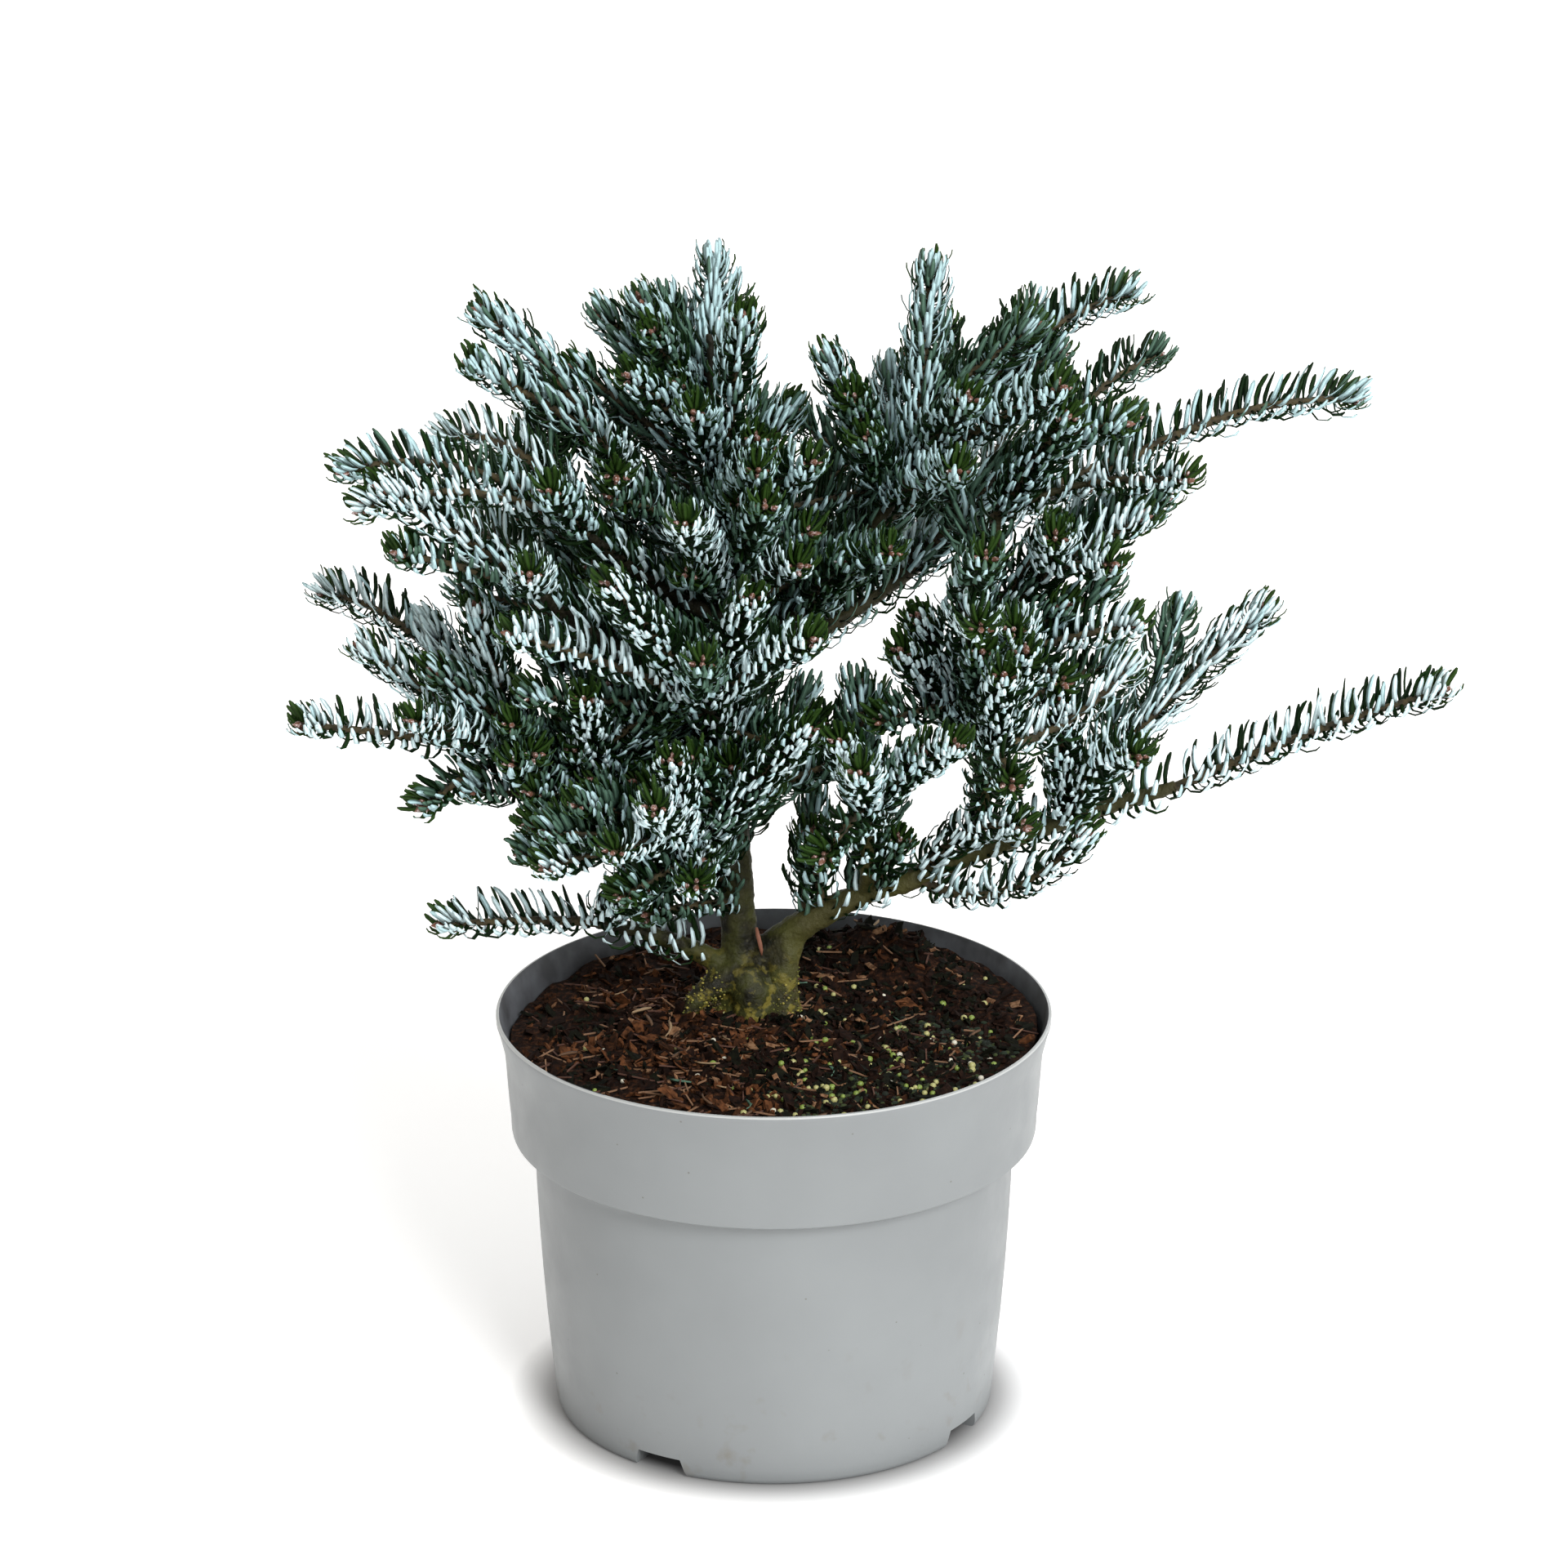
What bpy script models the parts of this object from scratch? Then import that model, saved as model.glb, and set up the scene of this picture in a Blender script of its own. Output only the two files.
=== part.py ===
"""A young silver fir in a round nursery pot.

Pot, potting mix, one trunk with its root flare, the main boughs, and the crown as separate masses of
needled shoots. The trunk leans a little and runs up through the crown to its leader. Every bough leaves
the trunk or another bough at a fraction of its length, with a compass bearing, a rise and a length, and
every mass is a cluster of finger-like shoots that fork from the end (or the side) of its bough.

Metres and degrees, +Z up. The origin is the centre of the pot's flat underside.
Bearings run anticlockwise seen from above: 0 is +X, 90 is +Y (back), 270 is -Y (front).
"""

import math
from collections import namedtuple

import bmesh
import bpy
from mathutils import Vector, noise

GAP = 0.0004  # clearance between pieces that touch
CUT_PAST = 0.004  # how far a cutter runs beyond the face that it leaves by
SHARP_ANGLE = 40.0
WELD = 0.00001

# Pot: 5 litre, 23 cm across the lip
POT_HEIGHT = 0.174
LIP_RADIUS = 0.115
LIP_CURVE = [(0.0, 0.0), (0.0016, 0.007), (0.0036, 0.016)]  # (in from the lip, down from it)
COLLAR_RADIUS = 0.109
COLLAR_DEPTH = 0.0515
LEDGE_DROP = 0.0015
WALL_TOP_RADIUS = 0.0995
WALL_FOOT_RADIUS = 0.0915
FOOT_ROUND = 0.003
WALL = 0.0016
POT_SIDES = 32

CHANNEL_COUNT = 4
CHANNEL_BEARING = 59.0
CHANNEL_INNER_RADIUS = 0.040
CHANNEL_GROUND_WIDTH = 0.030
CHANNEL_ROOF_WIDTH = 0.020
CHANNEL_HEIGHT = 0.008
DRAIN_RADIUS = 0.0045
DRAIN_FROM_CENTRE = 0.070
DRAIN_SIDES = 12

# Potting mix
MIX_LEVEL = 0.167
MIX_RINGS = 4
MOUND_HEIGHT = 0.017
MOUND_CENTRE = Vector((0.052, 0.074))
MOUND_SPREAD = 0.034
WALL_FADE = (0.080, 0.108)  # radii between which the mound dies away to the wall
LEFT_DIP = 0.006
LEFT_DIP_REACH = (0.03, 0.10)  # distances left of the centre between which it sinks
MIX_ROUGHNESS = 0.0014
MIX_LUMP = 0.017
FOOT_CLEARING = (0.029, 0.048)  # radii round the trunk between which the level mix ends

# Trunk, from its flat cut on the mix to the tip inside the leader
TRUNK_FOOT = Vector((-0.013, 0.020, MIX_LEVEL + GAP))
TRUNK_HEIGHT = 0.285
TRUNK_LEAN_SIDE = -0.013
TRUNK_LEAN_BACK = 0.022
TRUNK_FOOT_RADIUS = 0.0082
TRUNK_TIP_RADIUS = 0.0016
FLARE_RADIUS = 0.0062
FLARE_HEIGHT = 0.007
FLAT_CUT = 0.0012
TRUNK_TAPER = 0.85
TRUNK_SHARES = [0.0, 0.012, 0.035, 0.08, 0.17, 0.30, 0.45, 0.60, 0.75, 0.88, 1.0]  # of its height
TRUNK_SIDES = 10

# Boughs
BOUGH_TIP_SHARE = 0.55
BOUGH_POINTS = 5
BOUGH_SIDES = 6

Bough = namedtuple("Bough", "carrier at bearing rise length radius bow")
BOUGHS = {
    "stem_right": Bough("trunk", 0.05, 349, 34, 0.080, 0.0075, 0.08),
    "bough_left_foot": Bough("trunk", 0.05, 198, 26, 0.070, 0.0050, 0.05),
    "bough_right_low": Bough("stem_right", 1.00, 349, 24, 0.125, 0.0050, 0.02),
    "bough_right_rise": Bough("bough_right_low", 0.28, 41, 86, 0.145, 0.0034, 0.00),
    "bough_left_low": Bough("trunk", 0.26, 193, 25, 0.105, 0.0045, -0.04),
    "bough_left_mid": Bough("trunk", 0.47, 216, 35, 0.115, 0.0042, -0.05),
    "bough_left_upper": Bough("trunk", 0.59, 222, 36, 0.090, 0.0036, -0.05),
    "bough_upper_left": Bough("trunk", 0.65, 203, 52, 0.080, 0.0034, -0.05),
    "bough_top_right": Bough("trunk", 0.50, 356, 50, 0.120, 0.0042, -0.06),
    "bough_right_upper": Bough("bough_right_rise", 1.00, 354, 20, 0.040, 0.0026, 0.03),
    "bough_right_mid": Bough("bough_right_rise", 0.68, 324, 46, 0.040, 0.0026, -0.04),
    "bough_right_inner": Bough("bough_right_rise", 0.36, 300, 58, 0.050, 0.0026, -0.04),
    "bough_front_right": Bough("bough_right_rise", 0.44, 259, 43, 0.090, 0.0026, -0.04),
    "bough_front_right_low": Bough("bough_right_rise", 0.08, 274, 43, 0.085, 0.0028, -0.04),
    "bough_low_front": Bough("stem_right", 0.80, 269, 46, 0.085, 0.0034, 0.04),
    "bough_front": Bough("trunk", 0.42, 262, 29, 0.075, 0.0038, -0.04),
    "bough_front_low": Bough("trunk", 0.22, 248, 27, 0.075, 0.0036, -0.04),
    "bough_back_left": Bough("trunk", 0.34, 130, 34, 0.105, 0.0042, -0.04),
    "bough_back": Bough("trunk", 0.29, 80, 28, 0.105, 0.0042, -0.04),
    "bough_back_right": Bough("trunk", 0.50, 37, 17, 0.120, 0.0042, -0.04),
}

# Masses of foliage
SHOOT_RADIUS = 0.0100
SHOOT_TIP_RADIUS = 0.0062
SHOOT_END_SHARE = 0.55
SHOOT_FULL_FROM = 0.22
SHOOT_SIDES = 10
SHOOT_START = -0.006
SHOOT_ARCH = 0.02
SHOOT_POINTS = 6
UNEVENNESS = 0.0050
UNEVEN_SCALE = 0.022
MESH_SIZE = 0.0030
TRIANGLES_PER_SHOOT = 32

Mass = namedtuple("Mass", "carrier at shoots")
MASSES = {
    "foliage_leader": Mass("trunk", 0.91, [(90, 54, 0.065, 0), (83, 20, 0.075, 0)]),
    "foliage_top_left": Mass("trunk", 0.82, [
        (180, 66, 0.080, 0), (107, 46, 0.075, 0), (233, 41, 0.080, 0), (262, 33, 0.075, 0),
    ]),
    "foliage_top_front": Mass("trunk", 0.72, [
        (280, 30, 0.115, 0), (295, 31, 0.110, 0), (6, 60, 0.065, 0), (286, 44, 0.085, 0),
        (288, 71, 0.110, 0),
    ]),
    "foliage_front_upper": Mass("trunk", 0.62, [(264, 30, 0.150, 0), (280, 35, 0.130, 0), (296, 26, 0.085, 0)]),
    "foliage_upper_left": Mass("bough_upper_left", 1.0, [
        (175, 46, 0.080, 0.004), (199, 34, 0.075, 0), (275, 3, 0.060, 0),
    ]),
    "foliage_left_upper": Mass("bough_left_upper", 1.0, [
        (196, 19, 0.110, 0.012), (148, 21, 0.080, 0.014), (255, 33, 0.065, 0),
    ]),
    "foliage_left_mid": Mass("bough_left_mid", 1.0, [
        (207, 22, 0.070, 0), (270, 25, 0.060, 0), (125, 10, 0.055, 0.008), (207, 38, 0.090, 0),
    ]),
    "foliage_left_low": Mass("bough_left_low", 1.0, [
        (207, 17, 0.100, 0), (243, 27, 0.090, 0), (218, -17, 0.050, 0),
    ]),
    "foliage_left_back": Mass("bough_left_low", 0.95, [
        (150, 31, 0.115, 0.014), (177, 37, 0.085, 0), (145, 48, 0.075, 0), (224, 73, 0.080, 0),
    ]),
    "foliage_left_inner": Mass("bough_left_low", 0.6, [
        (213, 42, 0.110, 0), (242, 5, 0.060, 0), (267, 45, 0.100, 0), (290, 55, 0.060, 0),
    ]),
    "foliage_left_front": Mass("bough_front", 1.0, [(206, 26, 0.100, 0), (236, 46, 0.100, 0)]),
    "foliage_left_foot": Mass("bough_left_foot", 1.0, [(193, 4, 0.070, 0), (294, 33, 0.065, 0)]),
    "foliage_right_long": Mass("bough_right_low", 1.0, [(347, 25, 0.125, 0)]),
    "foliage_right_low": Mass("bough_right_low", 0.6, [
        (17, 44, 0.125, 0.003), (291, 36, 0.095, 0.009), (264, 58, 0.085, 0),
    ]),
    "foliage_right_foot": Mass("bough_right_low", 0.06, [(326, 24, 0.095, -0.018), (322, 32, 0.070, 0.008)]),
    "foliage_right_rise": Mass("bough_right_rise", 0.3, [
        (240, 43, 0.100, 0), (241, 53, 0.100, 0), (268, 39, 0.125, 0),
    ]),
    "foliage_right_upper": Mass("bough_right_upper", 1.0, [(13, 14, 0.120, 0.008), (314, 14, 0.060, 0)]),
    "foliage_right_mid": Mass("bough_right_mid", 1.0, [
        (347, 31, 0.052, 0), (305, 17, 0.050, 0), (70, 12, 0.045, 0), (271, 32, 0.055, 0),
    ]),
    "foliage_right_inner": Mass("bough_right_inner", 1.0, [
        (345, 18, 0.057, 0), (266, 26, 0.080, 0), (295, -2, 0.045, 0),
    ]),
    "foliage_upper_right_back": Mass("bough_top_right", 1.0, [(21, 34, 0.120, 0.012), (50, 29, 0.090, 0)]),
    "foliage_top_right": Mass("bough_top_right", 1.0, [
        (75, 73, 0.088, 0), (288, 37, 0.085, 0), (310, 32, 0.108, 0),
    ]),
    "foliage_top_mid": Mass("bough_top_right", 0.88, [
        (192, 67, 0.075, -0.003), (90, 40, 0.070, 0), (289, 25, 0.090, 0),
    ]),
    "foliage_upper_right_front": Mass("bough_right_upper", 0.0, [
        (336, 39, 0.076, 0.009), (47, 24, 0.115, 0.008), (300, 46, 0.080, 0),
    ]),
    "foliage_front_right": Mass("bough_front_right", 1.0, [(277, 34, 0.085, 0), (276, 13, 0.070, 0)]),
    "foliage_front_right_low": Mass("bough_front_right_low", 1.0, [
        (272, 42, 0.077, 0), (289, 56, 0.066, 0), (278, -3, 0.048, 0), (23, 23, 0.071, -0.01),
    ]),
    "foliage_low_front_right": Mass("bough_low_front", 1.0, [
        (299, 34, 0.090, 0), (295, 37, 0.070, 0), (103, 69, 0.055, 0),
    ]),
    "foliage_low_front": Mass("bough_low_front", 1.0, [
        (267, 29, 0.088, 0), (255, 44, 0.066, 0), (246, -11, 0.050, 0),
    ]),
    "foliage_front": Mass("bough_front", 1.0, [(303, 32, 0.098, 0), (270, 30, 0.085, 0), (288, 46, 0.095, 0)]),
    "foliage_front_low_left": Mass("bough_front_low", 1.0, [(249, 15, 0.070, 0), (212, 0, 0.065, 0)]),
    "foliage_front_low": Mass("bough_front_low", 0.7, [
        (265, 41, 0.110, 0), (262, 30, 0.115, 0), (307, 44, 0.115, 0), (273, 3, 0.050, 0),
    ]),
    "foliage_back_left": Mass("bough_back_left", 1.0, [
        (158, 24, 0.090, 0), (128, 8, 0.085, 0), (112, 34, 0.085, 0), (85, 8, 0.070, 0),
    ]),
    "foliage_back_left_upper": Mass("bough_back_left", 0.8, [
        (140, 58, 0.105, 0), (95, 62, 0.100, 0), (60, 42, 0.085, 0),
    ]),
    "foliage_back": Mass("bough_back", 1.0, [
        (112, 22, 0.080, 0), (82, 8, 0.080, 0), (58, 26, 0.080, 0), (140, -4, 0.060, 0),
    ]),
    "foliage_back_upper": Mass("bough_back", 0.8, [
        (100, 56, 0.105, 0), (55, 60, 0.100, 0), (20, 38, 0.075, 0),
    ]),
    "foliage_back_right": Mass("bough_back_right", 1.0, [
        (62, 30, 0.085, 0), (40, 6, 0.085, 0), (14, 24, 0.095, 0), (88, 8, 0.070, 0),
    ]),
    "foliage_back_right_upper": Mass("bough_back_right", 0.8, [
        (48, 56, 0.105, 0), (98, 50, 0.090, 0), (5, 48, 0.080, 0),
    ]),
}

COLOURS = {
    "pot": (0.36, 0.37, 0.37),
    "mix": (0.050, 0.024, 0.015),
    "bark": (0.075, 0.062, 0.030),
    "foliage": (0.20, 0.30, 0.27),
}


def clear_scene():
    for obj in list(bpy.data.objects):
        bpy.data.objects.remove(obj)
    for collection in list(bpy.data.collections):
        bpy.data.collections.remove(collection)


def make_collection(name):
    collection = bpy.data.collections.new(name)
    bpy.context.scene.collection.children.link(collection)
    return collection


def make_material(name, colour, roughness):
    material = bpy.data.materials.new(name)
    material.use_nodes = True
    shader = material.node_tree.nodes["Principled BSDF"]
    shader.inputs["Base Color"].default_value = (*colour, 1.0)
    shader.inputs["Roughness"].default_value = roughness
    shader.inputs["Metallic"].default_value = 0.0
    return material


def add_object(name, data, collection):
    obj = bpy.data.objects.new(name, data)
    collection.objects.link(obj)
    return obj


def set_as_cutter(obj):
    """A cutter only shapes other pieces: it is never rendered or built."""
    obj.hide_render = True
    obj.display_type = "WIRE"


def add_cutter(name, data):
    cutter = add_object(name, data, cutters)
    set_as_cutter(cutter)
    return cutter


def evaluated_mesh(obj):
    bpy.context.view_layer.update()
    graph = bpy.context.evaluated_depsgraph_get()
    return bpy.data.meshes.new_from_object(obj.evaluated_get(graph))


def apply_modifiers(obj):
    """Swaps the object's mesh for the one its modifiers make."""
    obj.data = evaluated_mesh(obj)
    obj.modifiers.clear()


def subtract(obj, cutter):
    modifier = obj.modifiers.new(f"Cut {cutter.name}"[:60], "BOOLEAN")
    modifier.operation = "DIFFERENCE"
    modifier.solver = "EXACT"
    modifier.object = cutter


def boxes_meet(first, second):
    """Whether two objects' boxes come within a gap of each other."""
    corners = []
    for obj in (first, second):
        points = [vertex.co for vertex in obj.data.vertices]
        low = [min(point[axis] for point in points) for axis in range(3)]
        high = [max(point[axis] for point in points) for axis in range(3)]
        corners.append((low, high))
    (low_a, high_a), (low_b, high_b) = corners
    return all(low_a[i] < high_b[i] + GAP and low_b[i] < high_a[i] + GAP for i in range(3))


def cut_clear(obj, clearances):
    """Cuts the object back from every grown neighbour that it could touch."""
    for cutter in clearances:
        if boxes_meet(obj, cutter):
            subtract(obj, cutter)
    apply_modifiers(obj)
    keep_largest_piece(obj.data)


def finish(obj, material):
    obj.data.shade_smooth()
    obj.data.set_sharp_from_angle(angle=math.radians(SHARP_ANGLE))
    obj.data.materials.clear()
    obj.data.materials.append(material)


def keep_largest_piece(mesh):
    """Drops the crumbs that a cut leaves beside the main body."""
    shape = bmesh.new()
    shape.from_mesh(mesh)
    unseen = set(shape.verts)
    pieces = []
    while unseen:
        piece = set()
        to_visit = [unseen.pop()]
        while to_visit:
            vertex = to_visit.pop()
            piece.add(vertex)
            for edge in vertex.link_edges:
                other = edge.other_vert(vertex)
                if other in unseen:
                    unseen.remove(other)
                    to_visit.append(other)
        pieces.append(piece)
    largest = max(pieces, key=len)
    crumbs = [vertex for vertex in shape.verts if vertex not in largest]
    bmesh.ops.delete(shape, geom=crumbs, context="VERTS")
    shape.to_mesh(mesh)
    shape.free()


def direction(bearing, rise):
    bearing, rise = math.radians(bearing), math.radians(rise)
    return Vector(
        (math.cos(rise) * math.cos(bearing), math.cos(rise) * math.sin(bearing), math.sin(rise))
    )


def smooth_step(low, high, value):
    share = min(max((value - low) / (high - low), 0.0), 1.0)
    return share * share * (3 - 2 * share)


# ---------------------------------------------------------------- pot and potting mix


def pot_outline(inset):
    """(radius, height) from the lip down to the foot, each moved in by the inset."""
    collar_foot = POT_HEIGHT - COLLAR_DEPTH
    return [
        *((LIP_RADIUS - inward - inset, POT_HEIGHT - down) for inward, down in LIP_CURVE),
        (COLLAR_RADIUS - inset, collar_foot + inset),
        (WALL_TOP_RADIUS - inset, collar_foot + inset - LEDGE_DROP),
        (WALL_FOOT_RADIUS - inset, inset + FOOT_ROUND),
        (WALL_FOOT_RADIUS - FOOT_ROUND - inset, inset),
    ]


def turned_body(name, outline, collection):
    """A closed solid turned from an outline that runs down its outer side."""
    profile = [(0.0, outline[0][1]), *outline, (0.0, outline[-1][1])]
    mesh = bpy.data.meshes.new(name)
    mesh.from_pydata(
        [(radius, 0.0, height) for radius, height in profile],
        [(index, index + 1) for index in range(len(profile) - 1)],
        [],
    )
    obj = add_object(name, mesh, collection)
    screw = obj.modifiers.new("Turn", "SCREW")
    screw.steps = screw.render_steps = POT_SIDES
    screw.use_merge_vertices = True
    screw.merge_threshold = WELD
    return obj


def channel_cutter(name, grow):
    """The radial drainage channels under the foot, as trapezium bars grown by the wall they pass."""
    bars = bmesh.new()
    for index in range(CHANNEL_COUNT):
        bearing = math.radians(CHANNEL_BEARING + index * 360 / CHANNEL_COUNT)
        along = Vector((math.cos(bearing), math.sin(bearing), 0))
        across = Vector((-along.y, along.x, 0))
        bar = bmesh.ops.create_cube(bars, size=1.0)["verts"]
        for vertex in bar:
            high = vertex.co.z > 0
            reach = LIP_RADIUS if vertex.co.x > 0 else CHANNEL_INNER_RADIUS - grow
            half = (CHANNEL_ROOF_WIDTH if high else CHANNEL_GROUND_WIDTH) / 2 + grow
            height = CHANNEL_HEIGHT + grow if high else -CUT_PAST
            side = half if vertex.co.y > 0 else -half
            vertex.co = along * reach + across * side + Vector((0, 0, height))
    mesh = bpy.data.meshes.new(name)
    bars.to_mesh(mesh)
    bars.free()
    return add_cutter(name, mesh)


def drain_cutter():
    drains = bmesh.new()
    for index in range(CHANNEL_COUNT):
        made = bmesh.ops.create_cone(
            drains,
            cap_ends=True,
            segments=DRAIN_SIDES,
            radius1=DRAIN_RADIUS,
            radius2=DRAIN_RADIUS,
            depth=WALL + 2 * CUT_PAST,
        )
        bearing = math.radians(CHANNEL_BEARING + index * 360 / CHANNEL_COUNT)
        centre = Vector((math.cos(bearing), math.sin(bearing), 0)) * DRAIN_FROM_CENTRE
        bmesh.ops.translate(drains, verts=made["verts"], vec=centre + Vector((0, 0, CHANNEL_HEIGHT)))
    mesh = bpy.data.meshes.new("drain_holes")
    drains.to_mesh(mesh)
    drains.free()
    return add_cutter("drain_holes", mesh)


def make_pot(material):
    """Thin-walled pot: the turned outside with its channels, less the same shape moved in by the wall."""
    pot = turned_body("pot", pot_outline(0.0), parts)
    subtract(pot, channel_cutter("pot_channels", 0.0))
    inside = pot_outline(WALL)
    inside[0] = (inside[0][0], POT_HEIGHT + CUT_PAST)
    cavity = turned_body("pot_cavity", inside, cutters)
    subtract(cavity, channel_cutter("cavity_channels", WALL))
    apply_modifiers(cavity)
    set_as_cutter(cavity)
    subtract(pot, cavity)
    subtract(pot, drain_cutter())
    apply_modifiers(pot)
    finish(pot, material)


def mix_height(place):
    """Height of the mix at a place: a mound at the back right, a dip at the left, level at the trunk."""
    wall_fade = 1 - smooth_step(*WALL_FADE, place.length)
    mound = MOUND_HEIGHT * math.exp(-((place - MOUND_CENTRE).length / MOUND_SPREAD) ** 2)
    dip = LEFT_DIP * smooth_step(*LEFT_DIP_REACH, -place.x)
    rough = MIX_ROUGHNESS * noise.noise(place.to_3d() / MIX_LUMP)
    clear = smooth_step(*FOOT_CLEARING, (place - TRUNK_FOOT.xy).length)
    return MIX_LEVEL + (mound * wall_fade - dip + rough) * clear


def make_potting_mix(material):
    """The mix fills the pot: a turned body a gap inside the wall, whose top is then made uneven."""
    outline = pot_outline(WALL + GAP)
    top_radius = outline[len(LIP_CURVE) - 1][0] - GAP
    rings = [(top_radius * ring / MIX_RINGS, MIX_LEVEL) for ring in range(1, MIX_RINGS + 1)]
    walls = outline[len(LIP_CURVE) :]
    mix = turned_body("potting_mix", rings + walls, parts)
    subtract(mix, channel_cutter("mix_channels", WALL + GAP))
    apply_modifiers(mix)
    for vertex in mix.data.vertices:
        if vertex.co.z > MIX_LEVEL - GAP:
            vertex.co.z = mix_height(vertex.co.xy)
    finish(mix, material)


# ---------------------------------------------------------------- trunk and boughs


def trunk_point(share):
    lean = Vector((TRUNK_LEAN_SIDE * share, TRUNK_LEAN_BACK * share**2, TRUNK_HEIGHT * share))
    return TRUNK_FOOT + lean


def trunk_radius(share):
    taper = TRUNK_TIP_RADIUS + (TRUNK_FOOT_RADIUS - TRUNK_TIP_RADIUS) * (1 - share) ** TRUNK_TAPER
    return taper + FLARE_RADIUS * math.exp(-share * TRUNK_HEIGHT / FLARE_HEIGHT)


def limb_point(name, share):
    """A point on a limb's axis at a share of its length, counted from the limb that carries it."""
    if name == "trunk":
        return trunk_point(share)
    bough = BOUGHS[name]
    start = limb_point(bough.carrier, bough.at)
    straight = direction(bough.bearing, bough.rise) * bough.length * share
    bow = bough.bow * bough.length * 4 * share * (1 - share)
    return start + straight + Vector((0, 0, bow))


def round_tubes(name, tubes, sides):
    """One mesh of round tubes with closed ends, each a list of (point, radius)."""
    curve = bpy.data.curves.new(name, "CURVE")
    curve.dimensions = "3D"
    curve.bevel_depth = 1.0
    curve.bevel_resolution = (sides - 4) // 2
    curve.use_fill_caps = True
    for tube in tubes:
        spline = curve.splines.new("POLY")
        spline.points.add(len(tube) - 1)
        for point, (place, radius) in zip(spline.points, tube):
            point.co = (*place, 1.0)
            point.radius = radius
    guide = add_cutter(name + "_guide", curve)
    mesh = evaluated_mesh(guide)
    bpy.data.objects.remove(guide)
    shape = bmesh.new()
    shape.from_mesh(mesh)
    bmesh.ops.remove_doubles(shape, verts=shape.verts, dist=WELD)
    bmesh.ops.triangulate(shape, faces=[face for face in shape.faces if len(face.verts) > 4])
    bmesh.ops.recalc_face_normals(shape, faces=shape.faces)
    shape.to_mesh(mesh)
    shape.free()
    mesh.name = name
    return mesh


def trunk_tube(grow):
    return [(trunk_point(share), trunk_radius(share) + grow) for share in TRUNK_SHARES]


def bough_tube(name, grow):
    bough = BOUGHS[name]
    tube = []
    for index in range(BOUGH_POINTS):
        share = index / (BOUGH_POINTS - 1)
        radius = bough.radius * (1 - (1 - BOUGH_TIP_SHARE) * share)
        tube.append((limb_point(name, share), radius + grow))
    return tube


def make_limbs(material):
    """The trunk, then each bough with its foot cut to the bark of the limbs before it."""
    trunk = add_object("trunk", round_tubes("trunk", [trunk_tube(0.0)], TRUNK_SIDES), parts)
    for vertex in trunk.data.vertices:
        if vertex.co.z < TRUNK_FOOT.z + FLAT_CUT:
            vertex.co.z = TRUNK_FOOT.z
    finish(trunk, material)
    grown_trunk = round_tubes("grown_trunk", [trunk_tube(GAP)], TRUNK_SIDES)
    clearances = [add_cutter("trunk_clearance", grown_trunk)]
    for name in BOUGHS:
        bough = add_object(name, round_tubes(name, [bough_tube(name, 0.0)], BOUGH_SIDES), parts)
        cut_clear(bough, clearances)
        finish(bough, material)
        grown_bough = round_tubes("grown_" + name, [bough_tube(name, GAP)], BOUGH_SIDES)
        clearances.append(add_cutter(name + "_clearance", grown_bough))
    return clearances


# ---------------------------------------------------------------- masses of foliage


def shoot_tube(fork, bearing, rise, length, bow):
    """A needled shoot as a finger: narrow at its fork, full along its middle, closing to its buds."""
    way = direction(bearing, rise)
    reach = length - SHOOT_TIP_RADIUS
    tube = []
    for index in range(SHOOT_POINTS):
        share = index / (SHOOT_POINTS - 1)
        along = SHOOT_START + (reach - SHOOT_START) * share
        arch = (SHOOT_ARCH * length + bow) * 4 * share * (1 - share)
        fullness = math.sin(math.pi * (SHOOT_FULL_FROM + (1 - 2 * SHOOT_FULL_FROM) * share))
        radius = SHOOT_TIP_RADIUS + (SHOOT_RADIUS - SHOOT_TIP_RADIUS) * fullness
        tube.append((fork + way * along + Vector((0, 0, arch)), radius))
    tube.append((fork + way * length, SHOOT_TIP_RADIUS * SHOOT_END_SHARE))
    return tube


def uneven_mass(name, tubes, texture):
    """Shoots fused into one body with a lumpy surface, thinned to large facets."""
    mass = add_object(name, round_tubes(name, tubes, SHOOT_SIDES), parts)
    fuse = mass.modifiers.new("Fuse", "REMESH")
    fuse.mode = "VOXEL"
    fuse.voxel_size = MESH_SIZE
    lumps = mass.modifiers.new("Lumps", "DISPLACE")
    lumps.texture = texture
    lumps.texture_coords = "GLOBAL"
    lumps.mid_level = 0.5
    lumps.strength = UNEVENNESS
    apply_modifiers(mass)
    faces = 2 * len(mass.data.polygons)
    thin = mass.modifiers.new("Thin", "DECIMATE")
    thin.ratio = TRIANGLES_PER_SHOOT * len(tubes) / faces
    thin.use_collapse_triangulate = True
    apply_modifiers(mass)
    return mass


def clearance_of(mass):
    """The same body, larger by the gap all round."""
    cutter = add_cutter(mass.name + "_clearance", mass.data.copy())
    grow = cutter.modifiers.new("Grow", "DISPLACE")
    grow.strength = GAP
    grow.mid_level = 0.0
    apply_modifiers(cutter)
    return cutter


def make_masses(material, limb_clearances):
    """Each mass, cut back from the limbs and from the masses before it."""
    texture = bpy.data.textures.new("lumps", "CLOUDS")
    texture.noise_scale = UNEVEN_SCALE
    clearances = list(limb_clearances)
    for name, plan in MASSES.items():
        fork = limb_point(plan.carrier, plan.at)
        tubes = [shoot_tube(fork, *shoot) for shoot in plan.shoots]
        mass = uneven_mass(name, tubes, texture)
        own_clearance = clearance_of(mass)
        cut_clear(mass, clearances)
        finish(mass, material)
        clearances.append(own_clearance)


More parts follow.
